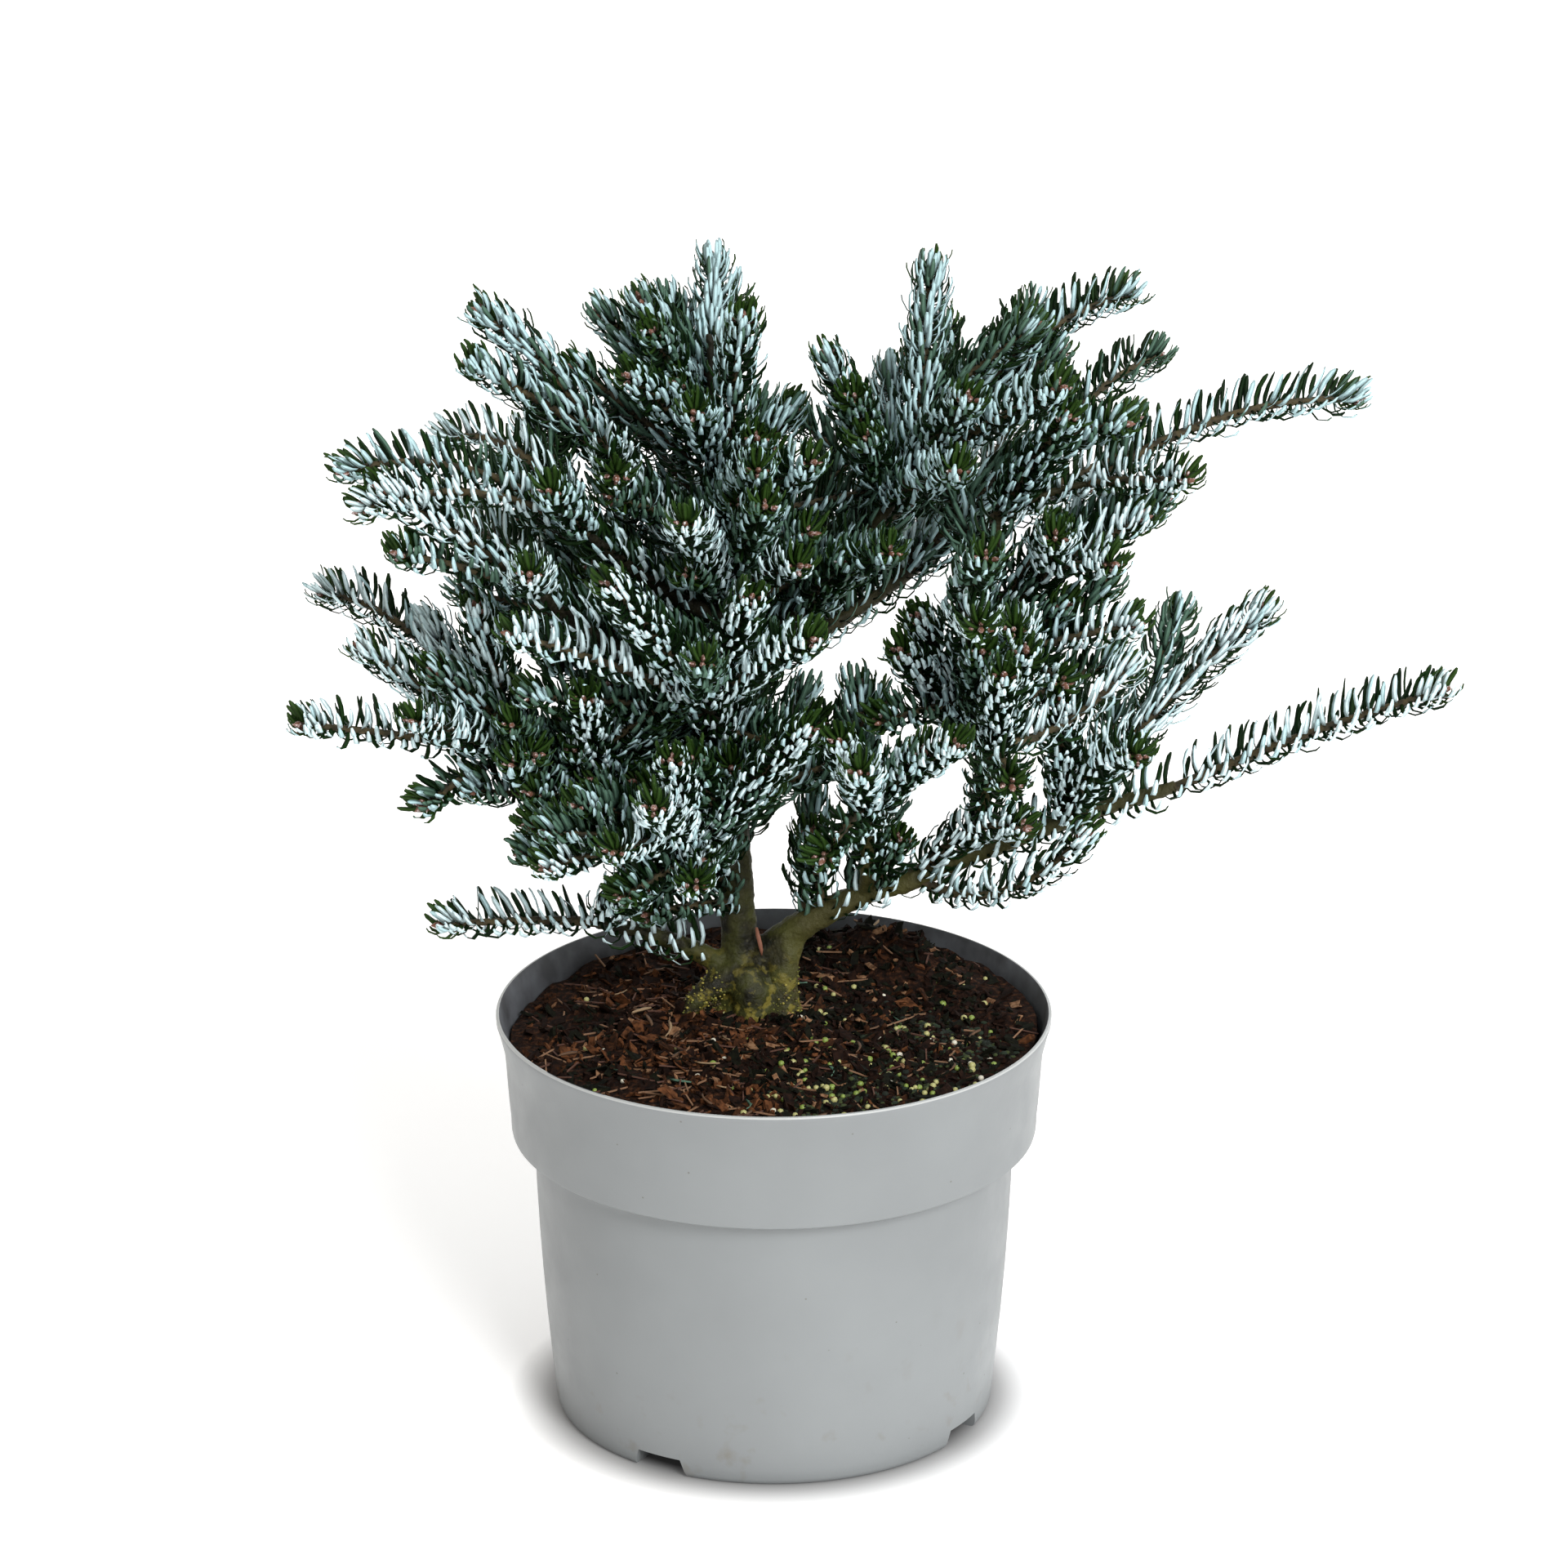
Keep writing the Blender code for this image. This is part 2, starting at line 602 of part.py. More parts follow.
clear_scene()
parts = make_collection("potted_conifer")
cutters = make_collection("cutters")
make_pot(make_material("grey plastic", COLOURS["pot"], 0.5))
make_potting_mix(make_material("potting mix", COLOURS["mix"], 0.95))
limb_clearances = make_limbs(make_material("bark", COLOURS["bark"], 0.85))
make_masses(make_material("needles", COLOURS["foliage"], 0.6), limb_clearances)
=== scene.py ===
import math
import random
from collections import namedtuple

import bpy
import numpy as np
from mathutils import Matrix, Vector, noise


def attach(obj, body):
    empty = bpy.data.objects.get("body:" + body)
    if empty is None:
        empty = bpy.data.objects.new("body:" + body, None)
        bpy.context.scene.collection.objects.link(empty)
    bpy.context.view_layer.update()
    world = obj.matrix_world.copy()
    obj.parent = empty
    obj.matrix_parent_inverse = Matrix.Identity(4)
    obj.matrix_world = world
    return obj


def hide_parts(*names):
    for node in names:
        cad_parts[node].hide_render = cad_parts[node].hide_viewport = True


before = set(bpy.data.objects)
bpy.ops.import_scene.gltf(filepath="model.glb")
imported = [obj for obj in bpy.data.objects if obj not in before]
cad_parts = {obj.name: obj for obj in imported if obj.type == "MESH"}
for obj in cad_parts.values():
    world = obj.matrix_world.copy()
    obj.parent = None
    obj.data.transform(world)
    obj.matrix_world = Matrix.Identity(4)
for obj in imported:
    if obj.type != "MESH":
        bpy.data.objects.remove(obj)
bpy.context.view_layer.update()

# ---------------------------------------------------------------- the nursery pot
# A 5 litre pot of injection-moulded polypropylene, 23 cm across the lip and 17.4 cm high, with a deep
# collar over a tapering wall and four drainage channels under its foot. The wall is 1.6 mm all round:
# an outer body less the same body moved in. It stands on the floor and holds everything else.

POT_WALL = 0.0016
POT_SIDES = 128
POT_OUTSIDE = [  # (radius, height) from the foot up to the lip
    (0.0885, 0.0000), (0.0899, 0.0003), (0.0910, 0.0012), (0.0916, 0.0028),
    (0.0921, 0.0070), (0.0937, 0.0240), (0.0954, 0.0420), (0.0968, 0.0600),
    (0.0980, 0.0790), (0.0990, 0.1000), (0.0994, 0.1150), (0.0998, 0.1195),
    (0.1006, 0.1209), (0.1050, 0.1217), (0.1078, 0.1222), (0.1088, 0.1230),
    (0.1091, 0.1244), (0.1093, 0.1300), (0.1100, 0.1370), (0.1105, 0.1440),
    (0.1110, 0.1520), (0.1116, 0.1590), (0.1128, 0.1640), (0.1140, 0.1690),
    (0.1149, 0.1718), (0.1150, 0.1732), (0.1147, 0.1738), (0.1142, 0.1740),
]
CHANNELS = 4
CHANNEL_BEARING = 59.0
CHANNEL_INNER_RADIUS = 0.040
CHANNEL_GROUND_WIDTH = 0.030
CHANNEL_ROOF_WIDTH = 0.020
CHANNEL_HEIGHT = 0.008
DRAIN_RADIUS = 0.0045
DRAIN_FROM_CENTRE = 0.070
HOLLOW_UP_TO = 0.169


def select_only(obj):
    bpy.ops.object.select_all(action="DESELECT")
    obj.select_set(True)
    bpy.context.view_layer.objects.active = obj


def name_active(name):
    obj = bpy.context.active_object
    obj.name = name
    obj.data.name = name
    return obj


def joined(pieces, lead):
    """Some bodies as one, under the lead's name."""
    bpy.ops.object.select_all(action="DESELECT")
    for piece in pieces:
        piece.select_set(True)
    bpy.context.view_layer.objects.active = lead
    bpy.ops.object.join()
    return bpy.context.active_object


def face_outward(obj):
    """Turns every face of a closed body to look out of it."""
    select_only(obj)
    bpy.ops.object.mode_set(mode="EDIT")
    bpy.ops.mesh.select_all(action="SELECT")
    bpy.ops.mesh.normals_make_consistent(inside=False)
    bpy.ops.object.mode_set(mode="OBJECT")


def turned(name, outline):
    """A closed body of rings drawn up one after another from its first to its last, both capped."""
    first_radius, first_height = outline[0]
    bpy.ops.mesh.primitive_circle_add(
        vertices=POT_SIDES, radius=first_radius, fill_type="NOTHING", location=(0, 0, first_height)
    )
    obj = name_active(name)
    bpy.ops.object.transform_apply(location=True)
    bpy.ops.object.mode_set(mode="EDIT")
    bpy.ops.mesh.select_mode(type="EDGE")
    bpy.ops.mesh.select_all(action="SELECT")
    bpy.ops.mesh.edge_face_add()
    for (radius, height), (next_radius, next_height) in zip(outline, outline[1:]):
        rise = (0, 0, next_height - height)
        bpy.ops.mesh.extrude_region_move(TRANSFORM_OT_translate={"value": rise})
        spread = next_radius / radius
        bpy.ops.transform.resize(value=(spread, spread, 1), center_override=(0, 0, 0))
    bpy.ops.mesh.select_all(action="SELECT")
    bpy.ops.mesh.normals_make_consistent(inside=False)
    bpy.ops.object.mode_set(mode="OBJECT")
    return obj


def shape_by(obj, kind, **settings):
    """Puts one modifier on a piece and applies it."""
    select_only(obj)
    modifier = obj.modifiers.new(kind.lower(), kind)
    for name, value in settings.items():
        setattr(modifier, name, value)
    bpy.ops.object.modifier_apply(modifier=modifier.name)


def cut_away(obj, cutter):
    """Takes the cutter out of the piece, and then the cutter out of the scene."""
    shape_by(obj, "BOOLEAN", operation="DIFFERENCE", solver="EXACT", object=cutter)
    bpy.data.objects.remove(cutter)


def channel_bars(grow):
    """The four channels under the foot, as bars with sloping sides."""
    bars = []
    for turn in range(CHANNELS):
        bpy.ops.mesh.primitive_cube_add(size=1)
        bar = bpy.context.active_object
        for vertex in bar.data.vertices:
            roof = vertex.co.z > 0
            out = vertex.co.x > 0
            half = (CHANNEL_ROOF_WIDTH if roof else CHANNEL_GROUND_WIDTH) / 2 + grow
            vertex.co.x = POT_OUTSIDE[-1][0] if out else CHANNEL_INNER_RADIUS - grow
            vertex.co.y = half if vertex.co.y > 0 else -half
            vertex.co.z = CHANNEL_HEIGHT + grow if roof else -CHANNEL_HEIGHT
        bar.rotation_euler.z = math.radians(CHANNEL_BEARING + turn * 360 / CHANNELS)
        bpy.ops.object.transform_apply(rotation=True)
        bars.append(bar)
    return joined(bars, bars[-1])


def drain_bars():
    """Round punches for the hole in the roof of each channel."""
    punches = []
    for turn in range(CHANNELS):
        bearing = math.radians(CHANNEL_BEARING + turn * 360 / CHANNELS)
        place = Vector((math.cos(bearing), math.sin(bearing), 0)) * DRAIN_FROM_CENTRE
        place.z = CHANNEL_HEIGHT
        bpy.ops.mesh.primitive_cylinder_add(vertices=32, radius=DRAIN_RADIUS, depth=0.010, location=place)
        bpy.ops.object.transform_apply(location=True)
        punches.append(bpy.context.active_object)
    return joined(punches, punches[-1])


def principled(material):
    return material.node_tree.nodes["Principled BSDF"]


def new_material(name, colour, roughness, specular=0.5):
    material = bpy.data.materials.new(name)
    material.use_nodes = True
    principled(material).inputs["Base Color"].default_value = (*colour, 1)
    principled(material).inputs["Roughness"].default_value = roughness
    principled(material).inputs["Specular IOR Level"].default_value = specular
    return material


def add_finishes(obj, finishes):
    """One plain material for each (name, colour, roughness), in the order of the slots."""
    for name, colour, roughness in finishes:
        obj.data.materials.append(new_material(name, colour, roughness))


def add_node(material, kind, **values):
    """A node with its sockets and settings given by name; a socket given as a link is joined up."""
    node = material.node_tree.nodes.new(kind)
    for name, value in values.items():
        if hasattr(node, name):
            setattr(node, name, value)
            continue
        socket = node.inputs[name.replace("_", " ")]
        if isinstance(value, bpy.types.NodeSocket):
            material.node_tree.links.new(value, socket)
        else:
            socket.default_value = value
    return node


def place_of(material):
    return add_node(material, "ShaderNodeTexCoord").outputs["Object"]


def along_axis(material, axis):
    return add_node(material, "ShaderNodeSeparateXYZ", Vector=place_of(material)).outputs[axis]


def noise_of(material, scale, detail):
    """Soft noise with patches of about one over the scale, in metres."""
    place = place_of(material)
    return add_node(material, "ShaderNodeTexNoise", Vector=place, Scale=scale, Detail=detail).outputs["Fac"]


def cells_of(material, scale):
    """Distance to the nearest of many scattered points, about one over the scale apart."""
    place = place_of(material)
    return add_node(material, "ShaderNodeTexVoronoi", Vector=place, Scale=scale).outputs["Distance"]


def product(material, first, second):
    node = add_node(material, "ShaderNodeMath", operation="MULTIPLY")
    material.node_tree.links.new(first, node.inputs[0])
    material.node_tree.links.new(second, node.inputs[1])
    return node.outputs[0]


def ramp(material, value, stops):
    """Colours dealt along a value, from (position, colour) pairs."""
    node = add_node(material, "ShaderNodeValToRGB", Fac=value)
    elements = node.color_ramp.elements
    while len(elements) < len(stops):
        elements.new(0.5)
    for element, (position, colour) in zip(elements, stops):
        element.position = position
        element.color = (*colour, 1)
    return node.outputs["Color"]


def mottled(material, scale, detail, stops):
    """Colours dealt along soft noise."""
    return ramp(material, noise_of(material, scale, detail), stops)


def mix_colours(material, share, first, second):
    """The first colour where the share is 0 and the second where it is 1."""
    node = material.node_tree.nodes.new("ShaderNodeMix")
    node.data_type = "RGBA"
    for socket, value in (("Factor", share), ("A", first), ("B", second)):
        target = next(s for s in node.inputs if s.name == socket and s.enabled)
        if isinstance(value, bpy.types.NodeSocket):
            material.node_tree.links.new(value, target)
        elif socket == "Factor":
            target.default_value = value
        else:
            target.default_value = (*value, 1)
    return next(s for s in node.outputs if s.enabled)


def scaled(material, value, low, high, to_low, to_high):
    """A value moved from one range, low to high, to another, and held inside it."""
    node = add_node(material, "ShaderNodeMapRange", Value=value)
    for socket, number in zip(node.inputs[1:5], (low, high, to_low, to_high)):
        socket.default_value = number
    return node.outputs["Result"]


def add_bump(material, height, distance, strength=1.0):
    node = add_node(material, "ShaderNodeBump", Height=height, Distance=distance, Strength=strength)
    material.node_tree.links.new(node.outputs["Normal"], principled(material).inputs["Normal"])


def feed(material, socket, value):
    material.node_tree.links.new(value, principled(material).inputs[socket])


def inset_outline(outline, depth):
    """The outline of the hollow: the same rings moved in by the wall, opened out at the very lip."""
    hollow = [(radius - depth, height + depth) for radius, height in outline if height < HOLLOW_UP_TO]
    lip_radius, lip_height = outline[-1]
    hollow += [
        (lip_radius - depth * 0.60, lip_height - depth * 0.30),
        (lip_radius - depth * 0.30, lip_height),
        (lip_radius - depth * 0.30, lip_height + depth),
    ]
    return hollow


pot = turned("nursery_pot", POT_OUTSIDE)
cut_away(pot, channel_bars(0.0))
hollow = turned("hollow", inset_outline(POT_OUTSIDE, POT_WALL))
cut_away(hollow, channel_bars(POT_WALL))
cut_away(pot, hollow)
cut_away(pot, drain_bars())
select_only(pot)
bpy.ops.object.shade_smooth_by_angle(angle=math.radians(32))

POT_GREY = (0.216, 0.229, 0.233)
GREY_FLOW = [(0.3, (0.205, 0.217, 0.221)), (0.7, (0.229, 0.243, 0.247))]
SOIL_BROWN = (0.160, 0.138, 0.105)
SPECK_BROWN = (0.11, 0.10, 0.085)
SOILED_TO_HEIGHT = 0.075
INSIDE_FROM = 0.120
LIP_FROM = 0.1734
pot_plastic = new_material("grey_polypropylene", POT_GREY, 0.42)
flow = mottled(pot_plastic, 14, 3, GREY_FLOW)
scuffs = scaled(pot_plastic, noise_of(pot_plastic, 95, 8), 0.60, 0.78, 0.0, 0.55)
low_down = scaled(pot_plastic, along_axis(pot_plastic, "Z"), 0.010, SOILED_TO_HEIGHT, 1.0, 0.0)
dirty = mix_colours(pot_plastic, product(pot_plastic, scuffs, low_down), flow, SOIL_BROWN)
speck_mask = scaled(pot_plastic, cells_of(pot_plastic, 85.0), 0.030, 0.045, 0.7, 0.0)
feed(pot_plastic, "Base Color", mix_colours(pot_plastic, speck_mask, dirty, SPECK_BROWN))
feed(pot_plastic, "Roughness", scaled(pot_plastic, noise_of(pot_plastic, 60, 4), 0.3, 0.7, 0.36, 0.50))
add_bump(pot_plastic, noise_of(pot_plastic, 520, 3), 0.00008, 0.5)
pot.data.materials.append(pot_plastic)
# The inner wall above the mix in a dark mottled grey: painted shade of the pot's hollow, with some stains.
shaded_inside = new_material("painted_shade_and_stains_inside", (0.075, 0.080, 0.090), 0.55)
shade_and_stains = [(0.35, (0.045, 0.046, 0.050)), (0.65, (0.110, 0.116, 0.128))]
feed(shaded_inside, "Base Color", mottled(shaded_inside, 60, 5, shade_and_stains))
pot.data.materials.append(shaded_inside)
# A lighter grey on the lip's top faces: a painted highlight along the rounded lip, with some wear.
add_finishes(pot, [("worn_and_highlit_lip", (0.420, 0.430, 0.425), 0.35)])
# Inner faces above INSIDE_FROM take the painted shade with stains; faces on the lip's top take the lighter
# lip grey.
for polygon in pot.data.polygons:
    if polygon.center.z > INSIDE_FROM and polygon.normal.xy.dot(polygon.center.xy) < 0:
        polygon.material_index = 1
    elif polygon.center.z > LIP_FROM:
        polygon.material_index = 2
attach(pot, "root")
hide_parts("pot")

# ---------------------------------------------------------------- the potting mix
# Peat and composted bark that fill the pot to 5-7 mm under the lip, lower at the left and mounded
# against the wall at the back right. One closed body whose top is worked up in rings.

MIX_LEVEL = 0.1674
MIX_TOP_RADIUS = 0.1090
MIX_RINGS = 74
MOUND_HEIGHT = 0.017
MOUND_CENTRE = Vector((0.052, 0.074, 0))
MOUND_SPREAD = 0.034
DIP_DEPTH = 0.006
LUMPS = [(0.0022, 60), (0.0012, 190), (0.0006, 520)]  # (height, how many to the metre)
MIX_PLAY = 0.0003
INNER_WALL_TO = 0.150
TRUNK_FOOT = Vector((-0.013, 0.020, MIX_LEVEL))


def smooth_step(low, high, value):
    share = min(max((value - low) / (high - low), 0.0), 1.0)
    return share * share * (3 - 2 * share)


def mix_height(x, y):
    """Height of the worked top: a mound, a dip, and lumps of three sizes."""
    place = Vector((x, y, 0))
    wall_fade = 1 - smooth_step(0.080, 0.108, place.length)
    mound = MOUND_HEIGHT * math.exp(-((place - MOUND_CENTRE).length / MOUND_SPREAD) ** 2)
    dip = DIP_DEPTH * smooth_step(0.03, 0.10, -x)
    lumps = sum(depth * noise.noise(place * scale) for depth, scale in LUMPS)
    clear = smooth_step(0.008, 0.030, (place - TRUNK_FOOT.xy.to_3d()).length)
    return MIX_LEVEL + (mound * wall_fade - dip) * clear + lumps * (0.3 + 0.7 * clear)


inner_wall = [
    (radius - POT_WALL - MIX_PLAY, height + POT_WALL + MIX_PLAY)
    for radius, height in POT_OUTSIDE
    if height < INNER_WALL_TO
]
mix_top = [(MIX_TOP_RADIUS * (1 - ring / MIX_RINGS), MIX_LEVEL) for ring in range(MIX_RINGS)]
potting_mix = turned("worked_mix", inner_wall + mix_top)
cut_away(potting_mix, channel_bars(POT_WALL + MIX_PLAY))
for vertex in potting_mix.data.vertices:
    if vertex.co.z > MIX_LEVEL - 0.0005:
        vertex.co.z = mix_height(vertex.co.x, vertex.co.y)
select_only(potting_mix)
bpy.ops.object.shade_smooth_by_angle(angle=math.radians(60))

PEAT_BROWNS = [
    (0.30, (0.003, 0.0015, 0.001)),
    (0.50, (0.013, 0.005, 0.0025)),
    (0.62, (0.038, 0.014, 0.006)),
    (0.8, (0.10, 0.046, 0.022)),
]
DULL_SPECULAR = 0.12
peat = new_material("peat_and_bark", (0.045, 0.019, 0.012), 0.9, DULL_SPECULAR)
crumb = noise_of(peat, 420, 6)
feed(peat, "Base Color", ramp(peat, crumb, PEAT_BROWNS))
add_bump(peat, crumb, 0.0015)
potting_mix.data.materials.append(peat)
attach(potting_mix, "root")
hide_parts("potting_mix")

MIX_CLEAR_RADIUS = 0.1055
TRUNK_CLEAR = 0.013
CHIPS = 3900
CHIP_TONES = [  # (name, dark streaks, light ground)
    ("chip_russet", (0.034, 0.012, 0.004), (0.135, 0.050, 0.019)),
    ("chip_red_brown", (0.011, 0.004, 0.0015), (0.050, 0.018, 0.0065)),
    ("chip_dark_brown", (0.004, 0.0015, 0.0008), (0.017, 0.0065, 0.0034)),
    ("chip_black_green", (0.002, 0.002, 0.001), (0.008, 0.0085, 0.0036)),
    ("chip_tan", (0.110, 0.050, 0.024), (0.290, 0.160, 0.085)),
]
DAMP_WAVES = [(72, 1.1), (95, 0.4)]  # (radians to the metre, phase) along X and along Y
DAMP_FROM = 0.7
TAN_SLOT = 4
TAN_SHARE = 0.04
FIBRES = 230
FIBRE_WIDTH = 0.0006
FIBRE_THICKNESS = 0.0005
GRANULES = 190
deal = np.random.default_rng(7)


def mesh_from_quads(name, points, quads, slots, smooth=True, triangles=None, end_slot=0):
    """A mesh from arrays of points, four-cornered faces with their slots, and any triangles."""
    if triangles is None:
        triangles = np.zeros((0, 3), dtype=int)
    corners = np.concatenate([quads.ravel(), triangles.ravel()]).astype(np.int32)
    starts = np.concatenate([np.arange(len(quads)) * 4, quads.size + np.arange(len(triangles)) * 3])
    face_slots = np.concatenate([slots, np.full(len(triangles), end_slot)])
    mesh = bpy.data.meshes.new(name)
    mesh.vertices.add(len(points))
    mesh.vertices.foreach_set("co", points.astype(np.float32).ravel())
    mesh.loops.add(len(corners))
    mesh.loops.foreach_set("vertex_index", corners)
    mesh.polygons.add(len(starts))
    mesh.polygons.foreach_set("loop_start", starts.astype(np.int32))
    mesh.polygons.foreach_set("material_index", face_slots.astype(np.int32))
    mesh.polygons.foreach_set("use_smooth", np.full(len(starts), smooth))
    mesh.update(calc_edges=True)
    obj = bpy.data.objects.new(name, mesh)
    bpy.context.scene.collection.objects.link(obj)
    return obj


def ring_faces(rings, sides, first=0):
    """Four-cornered faces between rings of corners, counted from a first corner."""
    faces = []
    for here in range(first, first + (rings - 1) * sides, sides):
        there = here + sides
        for side in range(sides):
            after = (side + 1) % sides
            faces.append((here + side, here + after, there + after, there + side))
    return faces


def scatter_on_mix(count, pull=(0.0, 0.0), spread=1.0):
    """Places on the worked top, clear of the wall and of the trunk's foot."""
    places = []
    while len(places) < count:
        x, y = deal.normal(pull[0], spread), deal.normal(pull[1], spread)
        from_foot = math.hypot(x - TRUNK_FOOT.x, y - TRUNK_FOOT.y)
        if math.hypot(x, y) < MIX_CLEAR_RADIUS and from_foot > TRUNK_CLEAR:
            places.append((x, y, mix_height(x, y)))
    return np.array(places)


def turned_frames(count, tilt):
    """Random turns about the upright, each then tipped by up to about the tilt in radians."""
    yaw = deal.uniform(0, math.tau, count)
    pitch = deal.normal(0, tilt, count)
    roll = deal.normal(0, tilt, count)
    length = np.stack([np.cos(yaw) * np.cos(pitch), np.sin(yaw) * np.cos(pitch), np.sin(pitch)], 1)
    level = np.stack([-np.sin(yaw), np.cos(yaw), np.zeros(count)], 1)
    upright = np.cross(length, level)
    width = np.cos(roll)[:, None] * level + np.sin(roll)[:, None] * upright
    return length, width, np.cross(length, width)


BOX_CORNERS = np.array([[x, y, z] for z in (-1, 1) for x, y in ((-1, -1), (1, -1), (1, 1), (-1, 1))])
BOX_FACES = np.array([[3, 2, 1, 0], [4, 5, 6, 7], [0, 1, 5, 4], [1, 2, 6, 5], [2, 3, 7, 6], [3, 0, 4, 7]])


def copies(name, points, faces, slots, smooth=True):
    """Copies of a small body as one mesh, from points (copies, corners, 3) and one slot to each copy."""
    first_corner = (np.arange(len(points)) * points.shape[1])[:, None, None]
    quads = (faces[None] + first_corner).reshape(-1, 4)
    return mesh_from_quads(name, points.reshape(-1, 3), quads, np.repeat(slots, len(faces)), smooth=smooth)


def crumbs(name, places, sizes, tilt, ragged, slots):
    """Small ragged boxes on the mix as one mesh, with one material slot to each."""
    count = len(places)
    frames = np.stack(turned_frames(count, tilt), 1)
    corners = BOX_CORNERS[None] * (1 + deal.uniform(-ragged, ragged, (count, 8, 3)))
    local = corners * sizes[:, None, :] / 2
    points = places[:, None, :] + np.einsum("nci,nij->ncj", local, frames)
    return copies(name, points, BOX_FACES, slots, smooth=False)


def chip_finish(name, dark, light):
    """Bark in two tones, streaked."""
    finish = new_material(name, light, 0.85, DULL_SPECULAR)
    feed(finish, "Base Color", mottled(finish, 520, 4, [(0.36, dark), (0.64, light)]))
    return finish


chip_places = scatter_on_mix(CHIPS, (0.0, 0.0), 0.060)
chip_lengths = deal.gamma(2.6, 0.0012, CHIPS) + 0.0012
chip_widths = chip_lengths * deal.uniform(0.22, 0.55, CHIPS)
chip_sizes = np.stack([chip_lengths, chip_widths, deal.uniform(0.0006, 0.0015, CHIPS)], 1)
chip_places[:, 2] += deal.uniform(-0.0004, 0.0013, CHIPS)
redder = chip_places[:, 0] < deal.normal(0.012, 0.045, CHIPS)
chip_slots = np.where(redder, deal.integers(0, 3, CHIPS), deal.integers(2, 4, CHIPS))
damp = sum(np.sin(pace * chip_places[:, axis] + phase) for axis, (pace, phase) in enumerate(DAMP_WAVES))
is_damp = damp + deal.normal(0, 0.5, CHIPS) > DAMP_FROM
chip_slots = np.where(is_damp, deal.integers(2, 4, CHIPS), chip_slots)
chip_slots = np.where(deal.random(CHIPS) < TAN_SHARE, TAN_SLOT, chip_slots)
chips = crumbs("bark_chips", chip_places, chip_sizes, tilt=0.55, ragged=0.48, slots=chip_slots)
for tone in CHIP_TONES:
    chips.data.materials.append(chip_finish(*tone))
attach(chips, "root")

fibre_places = scatter_on_mix(FIBRES, (-0.03, -0.02), 0.060)
fibre_places[:, 2] += 0.0012
fibre_sizes = np.zeros((FIBRES, 3)) + (0, FIBRE_WIDTH, FIBRE_THICKNESS)
fibre_sizes[:, 0] = deal.uniform(0.006, 0.017, FIBRES)
fibre_slots = deal.integers(0, 2, FIBRES)
fibres = crumbs("fibres", fibre_places, fibre_sizes, tilt=0.14, ragged=0.12, slots=fibre_slots)
add_finishes(fibres, [
    ("fibre_tan", (0.22, 0.115, 0.060), 0.8),
    ("fibre_brown", (0.085, 0.034, 0.020), 0.8),
])
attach(fibres, "root")


def round_grain():
    """The corners and faces of a ball of 24 faces, rounded out of a cube."""
    bpy.ops.mesh.primitive_cube_add(size=2)
    bpy.ops.object.mode_set(mode="EDIT")
    bpy.ops.mesh.subdivide(number_cuts=1)
    bpy.ops.object.mode_set(mode="OBJECT")
    ball = bpy.context.active_object
    corners = np.array([list(vertex.co.normalized()) for vertex in ball.data.vertices])
    quads = np.array([list(polygon.vertices) for polygon in ball.data.polygons])
    bpy.data.objects.remove(ball)
    return corners, quads


GRAIN_CORNERS, GRAIN_QUADS = round_grain()


def grains(name, places, radii, squash, slots):
    """Round grains as one mesh, each flattened by its squash."""
    stretch = radii[:, None] * np.stack([np.ones(len(radii)), np.ones(len(radii)), squash], 1)
    points = places[:, None, :] + GRAIN_CORNERS[None] * stretch[:, None, :]
    return copies(name, points, GRAIN_QUADS, slots)


granule_places = np.concatenate([
    scatter_on_mix(GRANULES * 3 // 4, (0.036, -0.060), 0.034),
    scatter_on_mix(GRANULES // 4, (0.0, 0.0), 0.060),
])
granule_radii = deal.uniform(0.0010, 0.0016, len(granule_places))
granule_places[:, 2] += granule_radii * 0.45
granule_slots = deal.choice(3, len(granule_radii), p=[0.48, 0.38, 0.14])
round_shape = np.ones(len(granule_radii))
granules = grains("feed_granules", granule_places, granule_radii, round_shape, granule_slots)
add_finishes(granules, [
    ("granule_straw", (0.40, 0.38, 0.15), 0.45),
    ("granule_green", (0.20, 0.27, 0.05), 0.45),
    ("granule_pale", (0.66, 0.62, 0.50), 0.45),
])
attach(granules, "root")

MOSS_PATCHES = [  # (x, y, reach)
    (0.050, -0.062, 0.020), (0.078, -0.030, 0.018), (0.020, -0.082, 0.016), (0.064, -0.006, 0.014),
]
MOSS_TUFTS = 210
moss_places = np.concatenate([
    scatter_on_mix(MOSS_TUFTS, (x, y), reach * 0.7) for x, y, reach in MOSS_PATCHES
])
moss_radii = deal.uniform(0.0006, 0.0017, len(moss_places))
moss_squash = deal.uniform(0.35, 0.75, len(moss_places))
moss = grains("moss", moss_places, moss_radii, moss_squash, deal.integers(0, 3, len(moss_places)))
add_finishes(moss, [
    ("moss_dark", (0.010, 0.020, 0.008), 0.95),
    ("moss_black", (0.005, 0.009, 0.004), 0.95),
    ("moss_olive", (0.032, 0.045, 0.010), 0.95),
])
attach(moss, "root")

# ---------------------------------------------------------------- trunk and boughs
# One young trunk, 16 mm thick above its root flare, that leans a little and runs up through the crown
# to the leader, with the boughs grown out of it. The limbs are drawn as tapering tubes, fused into
# one skin so that every fork is filleted, and then given their bark's blisters and wrinkles.

TRUNK_HEIGHT = 0.285
TRUNK_LEAN_SIDE = -0.013
TRUNK_LEAN_BACK = 0.022
TRUNK_FOOT_RADIUS = 0.0082
TRUNK_TIP_RADIUS = 0.0016
FLARE_RADIUS = 0.0062
FLARE_HEIGHT = 0.007
BOUGH_TIP_SHARE = 0.55
BARK_GRAIN = 0.0011
BARK_EASING = 6
BARK_RELIEF = [("CLOUDS", 0.0040, 0.0011), ("VORONOI", 0.0030, 0.0007)]  # (kind, size, depth)

